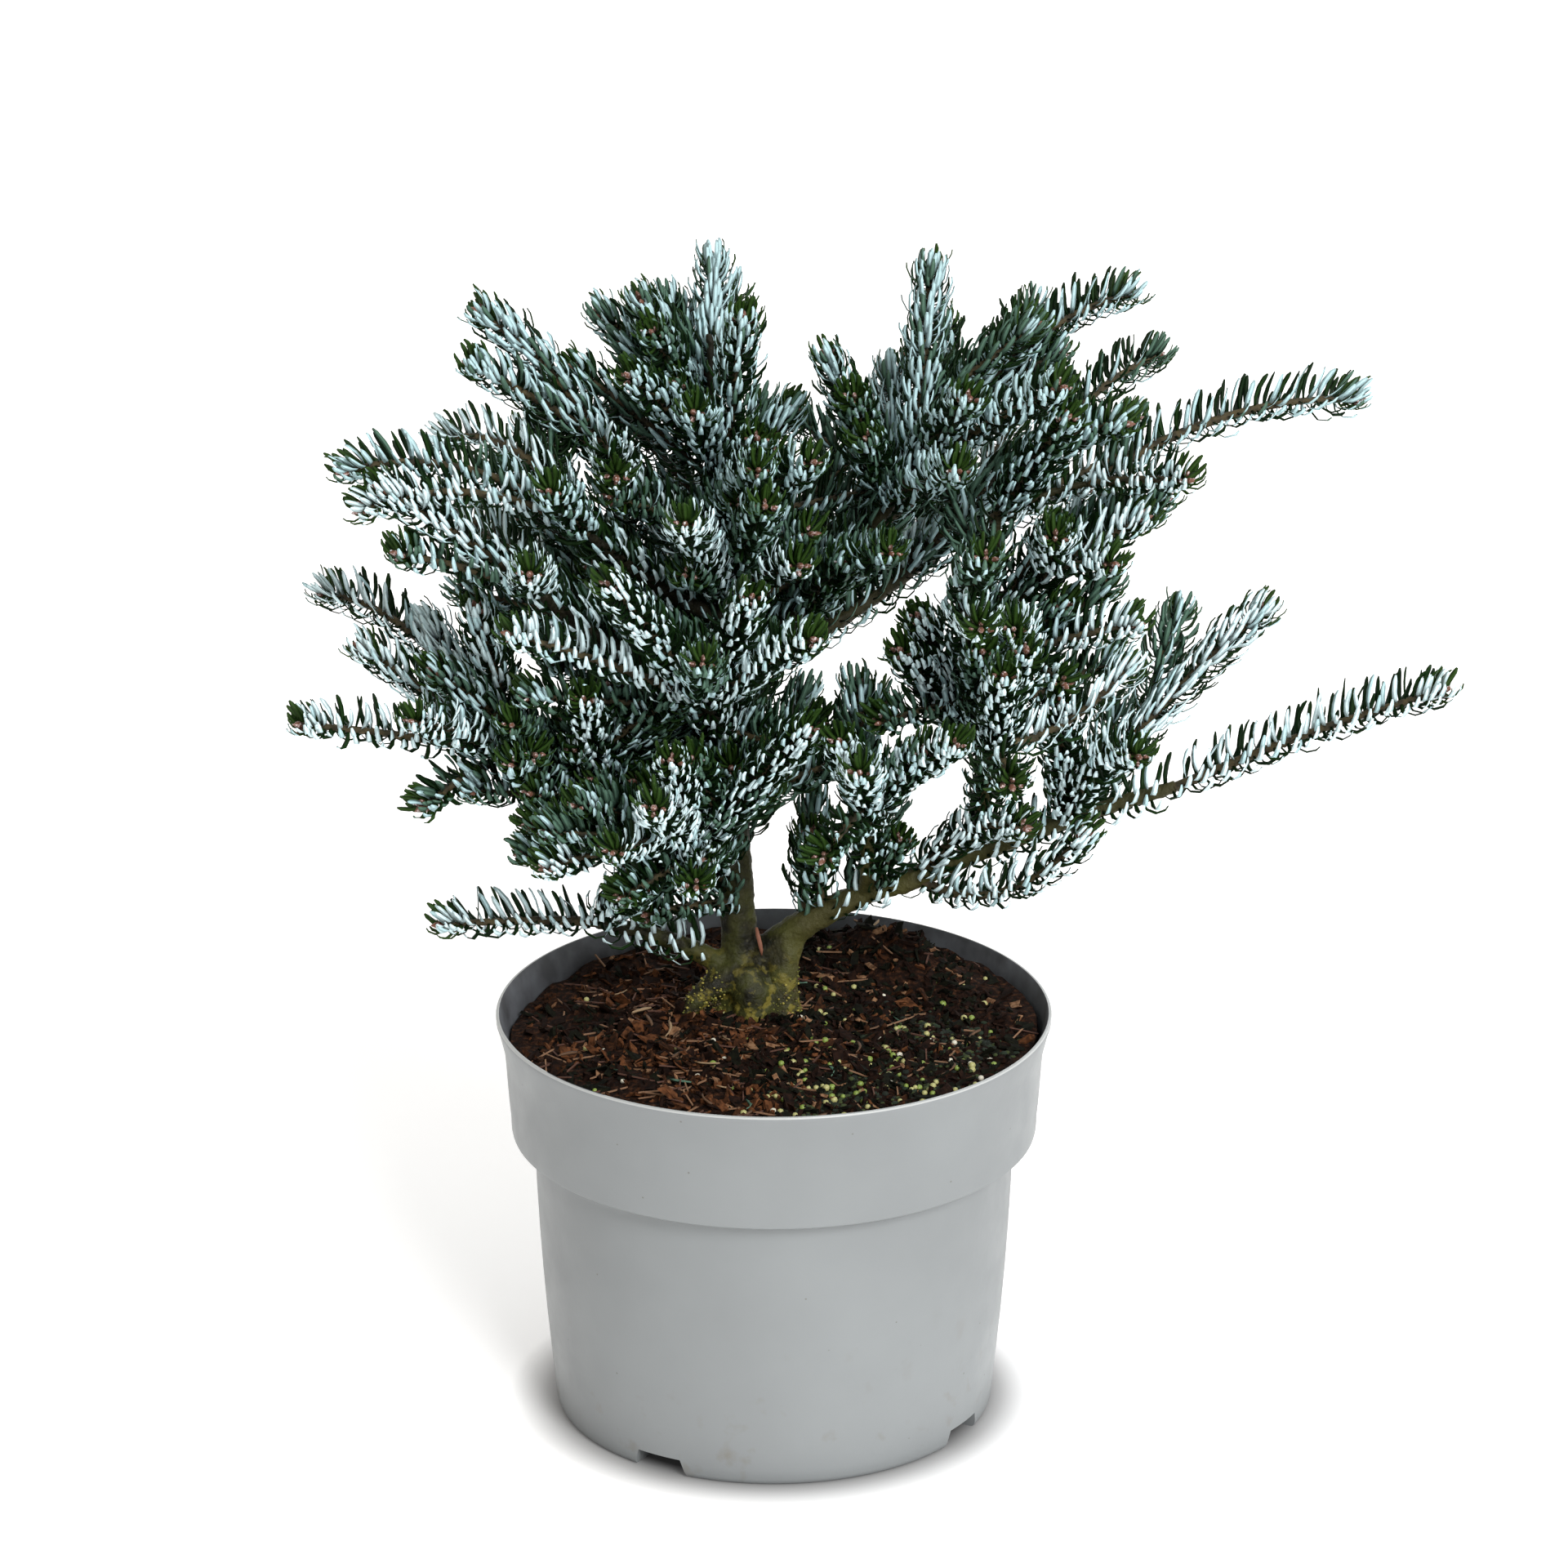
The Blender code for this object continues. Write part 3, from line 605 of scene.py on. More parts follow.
Bough = namedtuple("Bough", "carrier at bearing rise length radius bow")
BOUGHS = {
    "stem_right": Bough("trunk", 0.05, 349, 34, 0.080, 0.0075, 0.08),
    "bough_left_foot": Bough("trunk", 0.05, 198, 26, 0.070, 0.0050, 0.05),
    "bough_right_low": Bough("stem_right", 1.00, 349, 24, 0.125, 0.0050, 0.02),
    "bough_right_rise": Bough("bough_right_low", 0.28, 41, 86, 0.145, 0.0034, 0.00),
    "bough_left_low": Bough("trunk", 0.26, 193, 25, 0.105, 0.0045, -0.04),
    "bough_left_mid": Bough("trunk", 0.47, 216, 35, 0.115, 0.0042, -0.05),
    "bough_left_upper": Bough("trunk", 0.59, 222, 36, 0.090, 0.0036, -0.05),
    "bough_upper_left": Bough("trunk", 0.65, 203, 52, 0.080, 0.0034, -0.05),
    "bough_top_right": Bough("trunk", 0.50, 356, 50, 0.120, 0.0042, -0.06),
    "bough_right_upper": Bough("bough_right_rise", 1.00, 354, 20, 0.040, 0.0026, 0.03),
    "bough_right_mid": Bough("bough_right_rise", 0.68, 324, 46, 0.040, 0.0026, -0.04),
    "bough_right_inner": Bough("bough_right_rise", 0.36, 300, 58, 0.050, 0.0026, -0.04),
    "bough_front_right": Bough("bough_right_rise", 0.44, 259, 43, 0.090, 0.0026, -0.04),
    "bough_front_right_low": Bough("bough_right_rise", 0.08, 274, 43, 0.085, 0.0028, -0.04),
    "bough_low_front": Bough("stem_right", 0.80, 269, 46, 0.085, 0.0034, 0.04),
    "bough_front": Bough("trunk", 0.42, 262, 29, 0.075, 0.0038, -0.04),
    "bough_front_low": Bough("trunk", 0.22, 248, 27, 0.075, 0.0036, -0.04),
    "bough_back_left": Bough("trunk", 0.34, 130, 34, 0.105, 0.0042, -0.04),
    "bough_back": Bough("trunk", 0.29, 80, 28, 0.105, 0.0042, -0.04),
    "bough_back_right": Bough("trunk", 0.50, 37, 17, 0.120, 0.0042, -0.04),
}


def direction(bearing, rise):
    """Compass bearing anticlockwise from the right, and degrees above level."""
    bearing, rise = math.radians(bearing), math.radians(rise)
    return Vector(
        (math.cos(rise) * math.cos(bearing), math.cos(rise) * math.sin(bearing), math.sin(rise))
    )


def limb_point(name, share):
    """A point on a limb's axis at a share of its length, counted from the limb that carries it."""
    if name == "trunk":
        lean = (TRUNK_LEAN_SIDE * share, TRUNK_LEAN_BACK * share**2, TRUNK_HEIGHT * share)
        return TRUNK_FOOT + Vector(lean)
    bough = BOUGHS[name]
    start = limb_point(bough.carrier, bough.at)
    bow = bough.bow * bough.length * 4 * share * (1 - share)
    return start + direction(bough.bearing, bough.rise) * bough.length * share + Vector((0, 0, bow))


def limb_radius(name, share):
    if name == "trunk":
        taper = (TRUNK_FOOT_RADIUS - TRUNK_TIP_RADIUS) * (1 - share) ** 0.85
        return TRUNK_TIP_RADIUS + taper + FLARE_RADIUS * math.exp(-share * TRUNK_HEIGHT / FLARE_HEIGHT)
    return BOUGHS[name].radius * (1 - (1 - BOUGH_TIP_SHARE) * share)


def tapering_tubes(name, lines, roundness):
    """Round tubes with closed ends, as one mesh, each along its own line of (place, radius) pairs."""
    curve = bpy.data.curves.new(name, "CURVE")
    curve.dimensions = "3D"
    curve.bevel_depth = 1.0
    curve.bevel_resolution = roundness
    curve.use_fill_caps = True
    for line in lines:
        spline = curve.splines.new("POLY")
        spline.points.add(len(line) - 1)
        for point, (place, radius) in zip(spline.points, line):
            point.co = (*place, 1)
            point.radius = radius
    tube = bpy.data.objects.new(name, curve)
    bpy.context.scene.collection.objects.link(tube)
    select_only(tube)
    bpy.ops.object.convert(target="MESH")
    return name_active(name)


def limb_tube(name, shares):
    line = [(limb_point(name, share), limb_radius(name, share)) for share in shares]
    return tapering_tubes(name + "_tube", [line], LIMB_ROUNDNESS)


LIMB_ROUNDNESS = 5
TRUNK_SHARES = [(index / 40) ** 2 for index in range(41)]
BOUGH_SHARES = [index / 12 for index in range(13)]
# The collar where root, trunk and right-hand stem meet, as (place, radius) lines down into the mix
COLLAR_LINES = {
    "root_left": [
        ((-0.0140, 0.0150, 0.1860), 0.0070), ((-0.0250, 0.0115, 0.1800), 0.0056),
        ((-0.0320, 0.0095, 0.1740), 0.0046), ((-0.0375, 0.0085, 0.1640), 0.0036),
    ],
    "stem_foot": [
        ((0.0085, 0.0160, 0.2030), 0.0058), ((0.0040, 0.0140, 0.1900), 0.0066),
        ((0.0030, 0.0125, 0.1780), 0.0070), ((0.0040, 0.0120, 0.1640), 0.0082),
    ],
    "swelling": [
        ((-0.0120, 0.0125, 0.1880), 0.0060), ((-0.0090, 0.0105, 0.1790), 0.0092),
        ((-0.0080, 0.0115, 0.1660), 0.0098),
    ],
}
tubes = [limb_tube("trunk", TRUNK_SHARES)]
tubes += [limb_tube(name, BOUGH_SHARES) for name in BOUGHS]
tubes += [tapering_tubes(name, [line], LIMB_ROUNDNESS) for name, line in COLLAR_LINES.items()]
joined(tubes, tubes[0])
limbs = name_active("trunk_and_boughs")
shape_by(limbs, "REMESH", mode="VOXEL", voxel_size=BARK_GRAIN)
shape_by(limbs, "SMOOTH", iterations=BARK_EASING)
for texture_kind, size, depth in BARK_RELIEF:
    texture = bpy.data.textures.new("bark_" + texture_kind.lower(), texture_kind)
    texture.noise_scale = size
    shape_by(limbs, "DISPLACE", texture=texture, texture_coords="GLOBAL", mid_level=0.5, strength=depth)
for vertex in limbs.data.vertices:
    vertex.co.z = max(vertex.co.z, MIX_LEVEL - 0.0010)
bpy.ops.object.shade_smooth()

BARK_OLIVES = [(0.30, (0.005, 0.005, 0.002)), (0.5, (0.014, 0.013, 0.005)), (0.68, (0.036, 0.033, 0.014))]
BLISTER_TAN = (0.062, 0.056, 0.030)
MOSS_GREEN = (0.050, 0.052, 0.010)
LICHEN_YELLOW = (0.088, 0.080, 0.022)
MOSS_GOLD = (0.170, 0.140, 0.024)
CROWN_SHADE_BROWN = (0.010, 0.008, 0.004)
bark = new_material("young_fir_bark", (0.03, 0.026, 0.015), 0.58, specular=0.25)
height_up = along_axis(bark, "Z")
blisters = scaled(bark, cells_of(bark, 330.0), 0.12, 0.24, 0.55, 0.0)
dotted = mix_colours(bark, blisters, mottled(bark, 130, 5, BARK_OLIVES), BLISTER_TAN)
moss_patches = scaled(bark, noise_of(bark, 75, 4), 0.44, 0.62, 0.0, 0.85)
moss_below = scaled(bark, height_up, 0.210, 0.285, 1.0, 0.20)
greened = mix_colours(bark, product(bark, moss_patches, moss_below), dotted, MOSS_GREEN)
lichen_right = scaled(bark, along_axis(bark, "X"), -0.002, 0.014, 0.0, 0.55)
lichened = mix_colours(bark, lichen_right, greened, LICHEN_YELLOW)
gold_patches = scaled(bark, noise_of(bark, 210, 4), 0.52, 0.60, 0.0, 0.9)
gold_below = scaled(bark, height_up, 0.178, 0.198, 1.0, 0.0)
gilded = mix_colours(bark, product(bark, gold_patches, gold_below), lichened, MOSS_GOLD)
# Bark darker higher up inside the crown: painted shade under the foliage.
inside_shade = scaled(bark, height_up, 0.235, 0.300, 0.0, 0.60)
feed(bark, "Base Color", mix_colours(bark, inside_shade, gilded, CROWN_SHADE_BROWN))
add_bump(bark, noise_of(bark, 700, 6), 0.0007)
limbs.data.materials.append(bark)
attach(limbs, "root")
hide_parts("trunk", *BOUGHS)

GOLDEN_TUFTS = 220
TUFTS_TO_HEIGHT = 0.187
BARE_FROM = -0.020
BARE_TO = -0.001


def grows_tufts(vertex):
    """Whether a point of the skin is low down, not at the back and off the bare middle of the foot."""
    low = MIX_LEVEL < vertex.co.z < TUFTS_TO_HEIGHT
    return low and vertex.normal.y < 0.2 and not BARE_FROM <= vertex.co.x <= BARE_TO


foot_skin = [vertex.co + vertex.normal * 0.0003 for vertex in limbs.data.vertices if grows_tufts(vertex)]
tuft_places = np.array([list(foot_skin[index]) for index in deal.integers(0, len(foot_skin), GOLDEN_TUFTS)])
tuft_radii = deal.uniform(0.0002, 0.0007, GOLDEN_TUFTS)
tuft_squash = deal.uniform(0.5, 0.9, GOLDEN_TUFTS)
tufts = grains("golden_moss", tuft_places, tuft_radii, tuft_squash, deal.integers(0, 3, GOLDEN_TUFTS))
add_finishes(tufts, [
    ("moss_golden", (0.300, 0.250, 0.050), 0.90),
    ("moss_yellow_green", (0.130, 0.130, 0.022), 0.90),
    ("moss_brown", (0.060, 0.045, 0.018), 0.90),
])
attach(tufts, "root")

PEEL_LINE = [  # a strip of outer bark that curls off the trunk's right side: (place, half width)
    ((-0.0072, 0.0130, 0.2050), 0.0005), ((-0.0066, 0.0118, 0.2020), 0.0009),
    ((-0.0058, 0.0108, 0.1990), 0.0009), ((-0.0052, 0.0104, 0.1960), 0.0007),
    ((-0.0050, 0.0106, 0.1935), 0.0002),
]
PEEL_THICKNESS = 0.0004
peel_points = np.array([
    (x + side, y + depth, z)
    for (x, y, z), half in PEEL_LINE
    for side, depth in ((-half, 0.0), (half, 0.0), (half, PEEL_THICKNESS), (-half, PEEL_THICKNESS))
])
peel_quads = [(3, 2, 1, 0), (16, 17, 18, 19)] + ring_faces(len(PEEL_LINE), 4)
peel_slots = np.zeros(len(peel_quads), dtype=int)
peel = mesh_from_quads("bark_peel", peel_points, np.array(peel_quads), peel_slots)
face_outward(peel)
add_finishes(peel, [("peeled_bark", (0.220, 0.085, 0.048), 0.70)])
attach(peel, "root")

# ---------------------------------------------------------------- shoots
# The growth of the last years: finger-like shoots that fork from the end or the side of a bough, and
# side shoots off them by a branching rule where the crown is dense. Brown twigs, 4 mm thick at the foot.

# The radius and the fullness count against those of a plain shoot, which has 1 for both
Shoot = namedtuple("Shoot", "mass points radius fullness")
MASSES = {  # name: (limb that carries it, share along that limb, [(bearing, rise, length, arch), ...])
    "foliage_leader": ("trunk", 0.91, [(90, 54, 0.065), (83, 20, 0.075)]),
    "foliage_top_left": ("trunk", 0.82, [
        (180, 66, 0.080), (107, 46, 0.075), (233, 41, 0.080), (262, 33, 0.075),
    ]),
    "foliage_top_front": ("trunk", 0.72, [
        (280, 30, 0.115), (295, 31, 0.110), (6, 60, 0.065), (286, 44, 0.085), (288, 71, 0.110),
    ]),
    "foliage_front_upper": ("trunk", 0.62, [(264, 30, 0.150), (280, 35, 0.130), (296, 26, 0.085)]),
    "foliage_upper_left": ("bough_upper_left", 1.0, [
        (175, 46, 0.080, 0.004), (199, 34, 0.075), (275, 3, 0.060),
    ]),
    "foliage_left_upper": ("bough_left_upper", 1.0, [
        (196, 19, 0.110, 0.012), (148, 21, 0.080, 0.014), (255, 33, 0.065), (205, 13, 0.105, 0.010),
    ]),
    "foliage_left_mid": ("bough_left_mid", 1.0, [
        (207, 22, 0.070), (270, 25, 0.060), (125, 10, 0.055, 0.008), (207, 38, 0.090),
    ]),
    "foliage_left_low": ("bough_left_low", 1.0, [(207, 17, 0.100), (243, 27, 0.090), (218, -17, 0.050)]),
    "foliage_left_back": ("bough_left_low", 0.95, [
        (150, 31, 0.115, 0.014), (177, 37, 0.085), (145, 48, 0.075), (224, 73, 0.080),
    ]),
    "foliage_left_inner": ("bough_left_low", 0.6, [
        (213, 42, 0.110), (242, 5, 0.060), (267, 45, 0.100), (290, 55, 0.060),
    ]),
    "foliage_left_front": ("bough_front", 1.0, [(206, 26, 0.100), (236, 46, 0.100)]),
    "foliage_left_foot": ("bough_left_foot", 1.0, [(193, 4, 0.070), (294, 33, 0.065)]),
    "foliage_right_long": ("bough_right_low", 1.0, [(347, 25, 0.125)]),
    "foliage_right_low": ("bough_right_low", 0.6, [
        (17, 44, 0.125, 0.003), (291, 36, 0.095, 0.009), (264, 58, 0.085),
    ]),
    "foliage_right_foot": ("bough_right_low", 0.06, [(326, 24, 0.095, -0.018), (322, 32, 0.070, 0.008)]),
    "foliage_right_rise": ("bough_right_rise", 0.3, [(240, 43, 0.100), (241, 53, 0.100), (268, 39, 0.125)]),
    "foliage_right_upper": ("bough_right_upper", 1.0, [(13, 14, 0.120, 0.008), (314, 14, 0.060)]),
    "foliage_right_mid": ("bough_right_mid", 1.0, [
        (347, 31, 0.052), (305, 17, 0.050), (70, 12, 0.045), (271, 32, 0.055),
    ]),
    "foliage_right_inner": ("bough_right_inner", 1.0, [
        (345, 18, 0.057), (266, 26, 0.080), (295, -2, 0.045),
    ]),
    "foliage_upper_right_back": ("bough_top_right", 1.0, [(21, 34, 0.120, 0.012), (50, 29, 0.090)]),
    "foliage_top_right": ("bough_top_right", 1.0, [(75, 73, 0.088), (288, 37, 0.085), (310, 32, 0.108)]),
    "foliage_top_mid": ("bough_top_right", 0.88, [
        (192, 67, 0.075, -0.003), (90, 40, 0.070), (289, 25, 0.090),
    ]),
    "foliage_upper_right_front": ("bough_right_upper", 0.0, [
        (336, 39, 0.076, 0.009), (47, 24, 0.115, 0.008), (300, 46, 0.080),
    ]),
    "foliage_front_right": ("bough_front_right", 1.0, [(277, 34, 0.085), (276, 13, 0.070)]),
    "foliage_front_right_low": ("bough_front_right_low", 1.0, [
        (272, 42, 0.077), (289, 56, 0.066), (278, -3, 0.048), (23, 23, 0.071, -0.01),
    ]),
    "foliage_low_front_right": ("bough_low_front", 1.0, [
        (299, 34, 0.090), (295, 37, 0.070), (103, 69, 0.055),
    ]),
    "foliage_low_front": ("bough_low_front", 1.0, [(267, 29, 0.088), (255, 44, 0.066), (246, -11, 0.050)]),
    "foliage_front": ("bough_front", 1.0, [(303, 32, 0.098), (270, 30, 0.085), (288, 46, 0.095)]),
    "foliage_front_low_left": ("bough_front_low", 1.0, [(249, 15, 0.070), (212, 0, 0.065)]),
    "foliage_front_low": ("bough_front_low", 0.7, [
        (265, 41, 0.110), (262, 30, 0.115), (307, 44, 0.115), (273, 3, 0.050),
    ]),
    "foliage_back_left": ("bough_back_left", 1.0, [
        (158, 24, 0.090), (128, 8, 0.085), (112, 34, 0.085), (85, 8, 0.070),
    ]),
    "foliage_back_left_upper": ("bough_back_left", 0.8, [
        (140, 58, 0.105), (95, 62, 0.100), (60, 42, 0.085),
    ]),
    "foliage_back": ("bough_back", 1.0, [
        (112, 22, 0.080), (82, 8, 0.080), (58, 26, 0.080), (140, -4, 0.060),
    ]),
    "foliage_back_upper": ("bough_back", 0.8, [(100, 56, 0.105), (55, 60, 0.100), (20, 38, 0.075)]),
    "foliage_back_right": ("bough_back_right", 1.0, [
        (62, 30, 0.085), (40, 6, 0.085), (14, 24, 0.095), (88, 8, 0.070),
    ]),
    "foliage_back_right_upper": ("bough_back_right", 0.8, [
        (48, 56, 0.105), (98, 50, 0.090), (5, 48, 0.080),
    ]),
}
SHOOT_ARCH = 0.02
SHOOT_STEPS = 9
WANDER = 0.0022
INNER_RADIUS = 0.95  # side, core and stem shoots are thinner than this
LIMB_FULLNESS = 0.9  # a limb's needled end is less full than this
TWIG_RADIUS = 0.0015
FOOT_SWELL = 1.25
TWIG_BARK = 0.0003
TWIG_TIP_RADIUS = 0.0011
TIP_SWELL = 1.1
BUD_ROOM = 0.006
BOUGH_BARE = 0.22
# Where side shoots may end: (centre, radii) of the crown's dense parts, high, low left and low right
DENSE_PARTS = [
    (Vector((0.015, 0.042, 0.365)), Vector((0.158, 0.088, 0.126))),
    (Vector((-0.045, 0.000, 0.288)), Vector((0.092, 0.088, 0.066))),
    (Vector((0.052, -0.015, 0.290)), Vector((0.062, 0.075, 0.062))),
]
BACK_HALF = 0.015
CORE_SHOOTS = 44
CORE_FROM = 0.12
CORE_TO = 0.80
SIDE_SHOOT_GAP = 0.012
LOW_SHOOTS = 22
LOW_FROM = 0.08
LOW_TO = 0.44
STEM_SHOOTS = [  # (share along stem_right, bearing, rise, length)
    (0.40, 60, 80, 0.052), (0.52, 255, 66, 0.046), (0.68, 20, 66, 0.050), (0.84, 290, 48, 0.044),
]
TANGLED_MASSES = [
    "foliage_left_low", "foliage_left_inner", "foliage_left_foot", "foliage_front_low",
    "foliage_front_low_left", "foliage_low_front", "foliage_right_foot",
]
CORE_MASSES = [  # from the trunk's foot upwards
    "foliage_front_low", "foliage_front", "foliage_front_upper", "foliage_top_front", "foliage_top_left",
]
# Openings right through the crown, along a line that falls 20 degrees to the back: (x, height, radius)
OPENINGS = [
    (0.0910, 0.4070, 0.009), (0.0330, 0.3260, 0.008), (0.0430, 0.3390, 0.010), (0.0530, 0.3510, 0.009),
    (0.0770, 0.2750, 0.009), (0.0720, 0.2620, 0.007), (0.0260, 0.2600, 0.006), (-0.0010, 0.2400, 0.006),
    (0.0160, 0.4660, 0.014), (0.0060, 0.4920, 0.012), (0.0220, 0.4880, 0.016),
]
OPENING_FALL = math.tan(math.radians(20.3))
OPENING_SQUASH = 0.94
OPENING_MARGIN = 0.009
chance = random.Random(11)


def shoot_points(start, way, length, arch=0.0):
    """The twig's line: an arch, and a small wander either side of straight."""
    sideways = way.cross(Vector((0, 0, 1))).normalized()
    phase = chance.uniform(0, math.tau)
    points = []
    for index in range(SHOOT_STEPS):
        share = index / (SHOOT_STEPS - 1)
        rise = (SHOOT_ARCH * length + arch) * 4 * share * (1 - share)
        wander = WANDER * share * math.sin(phase + share * 4.5) * (1 - share)
        points.append(start + way * length * share + Vector((0, 0, rise)) + sideways * wander)
    return points


def inside_crown(point):
    return any(
        sum(((point - centre)[axis] / radii[axis]) ** 2 for axis in range(3)) < 1
        for centre, radii in DENSE_PARTS
    )


def in_opening(point):
    for x, height, radius in OPENINGS:
        above = (point.z - (height - point.y * OPENING_FALL)) * OPENING_SQUASH
        if math.hypot(point.x - x, above) < radius + OPENING_MARGIN:
            return True
    return False


def fits_inside(points):
    """Whether a side shoot ends in the crown's dense parts and keeps out of its openings."""
    return inside_crown(points[-1]) and not any(in_opening(point) for point in points)


def add_side_shoots(mass, line, way, shares, spreads, lift, reaches):
    """Shoots off alternate sides of a limb or a twig, kept only where the crown is dense."""
    flat = way.cross(Vector((0, 0, 1))).normalized()
    for index, share in enumerate(shares):
        side = 1 if index % 2 else -1
        spread = math.radians(chance.uniform(*spreads))
        branch_way = way * math.cos(spread) + flat * side * math.sin(spread)
        branch_way = (branch_way + Vector((0, 0, chance.uniform(*lift)))).normalized()
        branch = shoot_points(line(share), branch_way, chance.uniform(*reaches))
        if fits_inside(branch):
            shoots.append(Shoot(mass, branch, radius=0.85, fullness=1.12))


def outer_limb(name, bare):
    """Points along a limb from the end of its bare part to its tip."""
    return [limb_point(name, bare + (1 - bare) * index / 6) for index in range(7)]


def add_core_shoot(mass, share, bearing, rises, reaches):
    """A shoot straight off the trunk, kept only where the crown is dense."""
    way = direction(bearing, chance.uniform(*rises))
    core = shoot_points(limb_point("trunk", share), way, chance.uniform(*reaches))
    if fits_inside(core):
        shoots.append(Shoot(mass, core, radius=0.90, fullness=1.0))


shoots = []
for name, bough in BOUGHS.items():
    carried = [mass for mass, (carrier, at, fans) in MASSES.items() if carrier == name]
    if carried:
        girth = bough.radius * 0.75 / TWIG_RADIUS
        shoots.append(Shoot(carried[0], outer_limb(name, BOUGH_BARE), radius=girth, fullness=0.75))
        add_side_shoots(
            carried[0],
            lambda share: limb_point(name, share),
            direction(bough.bearing, bough.rise),
            np.arange(0.28, 0.97, SIDE_SHOOT_GAP / bough.length),
            spreads=(35, 65),
            lift=(-0.35, 0.30),
            reaches=(0.055, 0.080),
        )
for mass, (carrier, at, fans) in MASSES.items():
    fork = limb_point(carrier, at)
    for bearing, rise, length, *arch in fans:
        way = direction(bearing, rise)
        points = shoot_points(fork, way, length - BUD_ROOM, *arch)
        shoots.append(Shoot(mass, points, radius=1.0, fullness=1.0))
        if points[-1].y > BACK_HALF or mass in TANGLED_MASSES:
            add_side_shoots(
                mass,
                lambda share: points[round(share * (SHOOT_STEPS - 1))],
                way,
                (0.15, 0.25, 0.40),
                spreads=(36, 56),
                lift=(-0.20, 0.35),
                reaches=(0.040, 0.060),
            )
for index in range(CORE_SHOOTS):
    share = CORE_FROM + (CORE_TO - CORE_FROM) * index / CORE_SHOOTS
    mass = CORE_MASSES[int(share * len(CORE_MASSES))]
    bearing = index * 137.5 + 40
    add_core_shoot(mass, share, bearing, rises=(12, 44), reaches=(0.060, 0.085))
for index in range(LOW_SHOOTS):
    share = LOW_FROM + (LOW_TO - LOW_FROM) * index / LOW_SHOOTS
    bearing = 200 + index * 61.8 % 140
    add_core_shoot("foliage_front_low", share, bearing, rises=(4, 40), reaches=(0.050, 0.080))
for share, bearing, rise, length in STEM_SHOOTS:
    upright = shoot_points(limb_point("stem_right", share), direction(bearing, rise), length)
    shoots.append(Shoot("foliage_right_foot", upright, radius=0.90, fullness=1.0))
shoots.append(Shoot("foliage_right_foot", outer_limb("stem_right", 0.5), radius=3.0, fullness=0.45))


def twig_line(shoot):
    """The twig's points, each with its radius, from a stout foot to a fine tip."""
    first = TWIG_RADIUS * FOOT_SWELL * shoot.radius + TWIG_BARK
    last = TWIG_TIP_RADIUS * TIP_SWELL * shoot.radius
    steps = len(shoot.points) - 1
    return [(place, first + (last - first) * index / steps) for index, place in enumerate(shoot.points)]


twig_lines = [twig_line(shoot) for shoot in shoots if shoot.fullness > LIMB_FULLNESS]
twigs = tapering_tubes("twigs", twig_lines, roundness=1)
bpy.ops.object.shade_smooth()
twig_brown = new_material("twig_brown", (0.060, 0.042, 0.022), 0.75)
twig_browns = [(0.35, (0.022, 0.017, 0.006)), (0.65, (0.078, 0.056, 0.019))]
feed(twig_brown, "Base Color", mottled(twig_brown, 260, 4, twig_browns))
add_bump(twig_brown, noise_of(twig_brown, 900, 4), 0.0005)
twigs.data.materials.append(twig_brown)
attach(twigs, "root")

# ---------------------------------------------------------------- needles
# Flat blunt needles, about 15 mm long and 2 mm wide, in a spiral round every shoot. They leave the twig
# sideways and curl forwards and up over it, so that their silver undersides face out and their dark
# green upper sides face in. Each is one closed blade of four lengths, flat outside and ridged inside.

NEEDLES_PER_METRE = 1500
LEVEL_CROWDING = 0.84
STEEP_CROWDING = 0.66  # more than on a level shoot
TIP_LENGTH = 0.010
TIP_NEEDLES = 34
LIMB_TIP_NEEDLES = 4
TIP_REACH = 0.016
TIP_SHORTENING = 0.25
NEEDLE_LENGTH = 0.0132
LIVE_LENGTH = 1.10
STEEP_LENGTH = 0.06  # more than on a level shoot
NEEDLE_WIDTH = 0.0021
NEEDLE_THICKNESS = 0.00045
LEAVING_ANGLE = 84  # degrees off the twig
LEAVING_PLAY = 7
DROOP = 0.45  # how far the side needles of a level shoot start below level
LIFT = 0.95  # how strongly the needles of a level shoot turn up
FORWARD, LESS_FORWARD_LEVEL = 0.95, 0.53
INWARD, LESS_INWARD_LEVEL = 0.45, 0.20
STEEP_CURL = 99  # degrees along a needle's length
CURL_LOSS_LEVEL = 63
HOOK, HOOK_EASING = 200, 88  # degrees more where a needle hangs under a level shoot
CURL_PLAY = 11
LEAST_CURL = math.radians(6)
TWIST_PLAY, INNER_TWIST_PLAY = 0.32, 0.60
STATIONS = np.array([0.0, 0.26, 0.55, 0.85, 1.0])
WIDTHS = np.array([0.62, 0.98, 1.00, 0.90, 0.38])
GOLDEN_ANGLE = math.radians(137.508)


def along_line(points, distances):
    """Places and directions at some distances along a line of points."""
    line = np.array([list(point) for point in points])
    steps = np.linalg.norm(np.diff(line, axis=0), axis=1)
    reached = np.concatenate([[0], np.cumsum(steps)])
    place = np.stack([np.interp(distances, reached, line[:, axis]) for axis in range(3)], 1)
    ways = np.diff(line, axis=0) / steps[:, None]
    middles = (reached[1:] + reached[:-1]) / 2
    way = np.stack([np.interp(distances, middles, ways[:, axis]) for axis in range(3)], 1)
    return place, unit(way)


def unit(vectors):
    return vectors / np.maximum(np.linalg.norm(vectors, axis=1, keepdims=True), 1e-9)


def line_length(points):
    return sum((b - a).length for a, b in zip(points, points[1:]))


def steepness(climb):
    """How far a shoot counts as upright, 0 up to a rise of 20 degrees and 1 from a rise of 53."""
    part = np.clip((np.abs(climb) - 0.35) / 0.45, 0, 1)
    return part**2 * (3 - 2 * part)


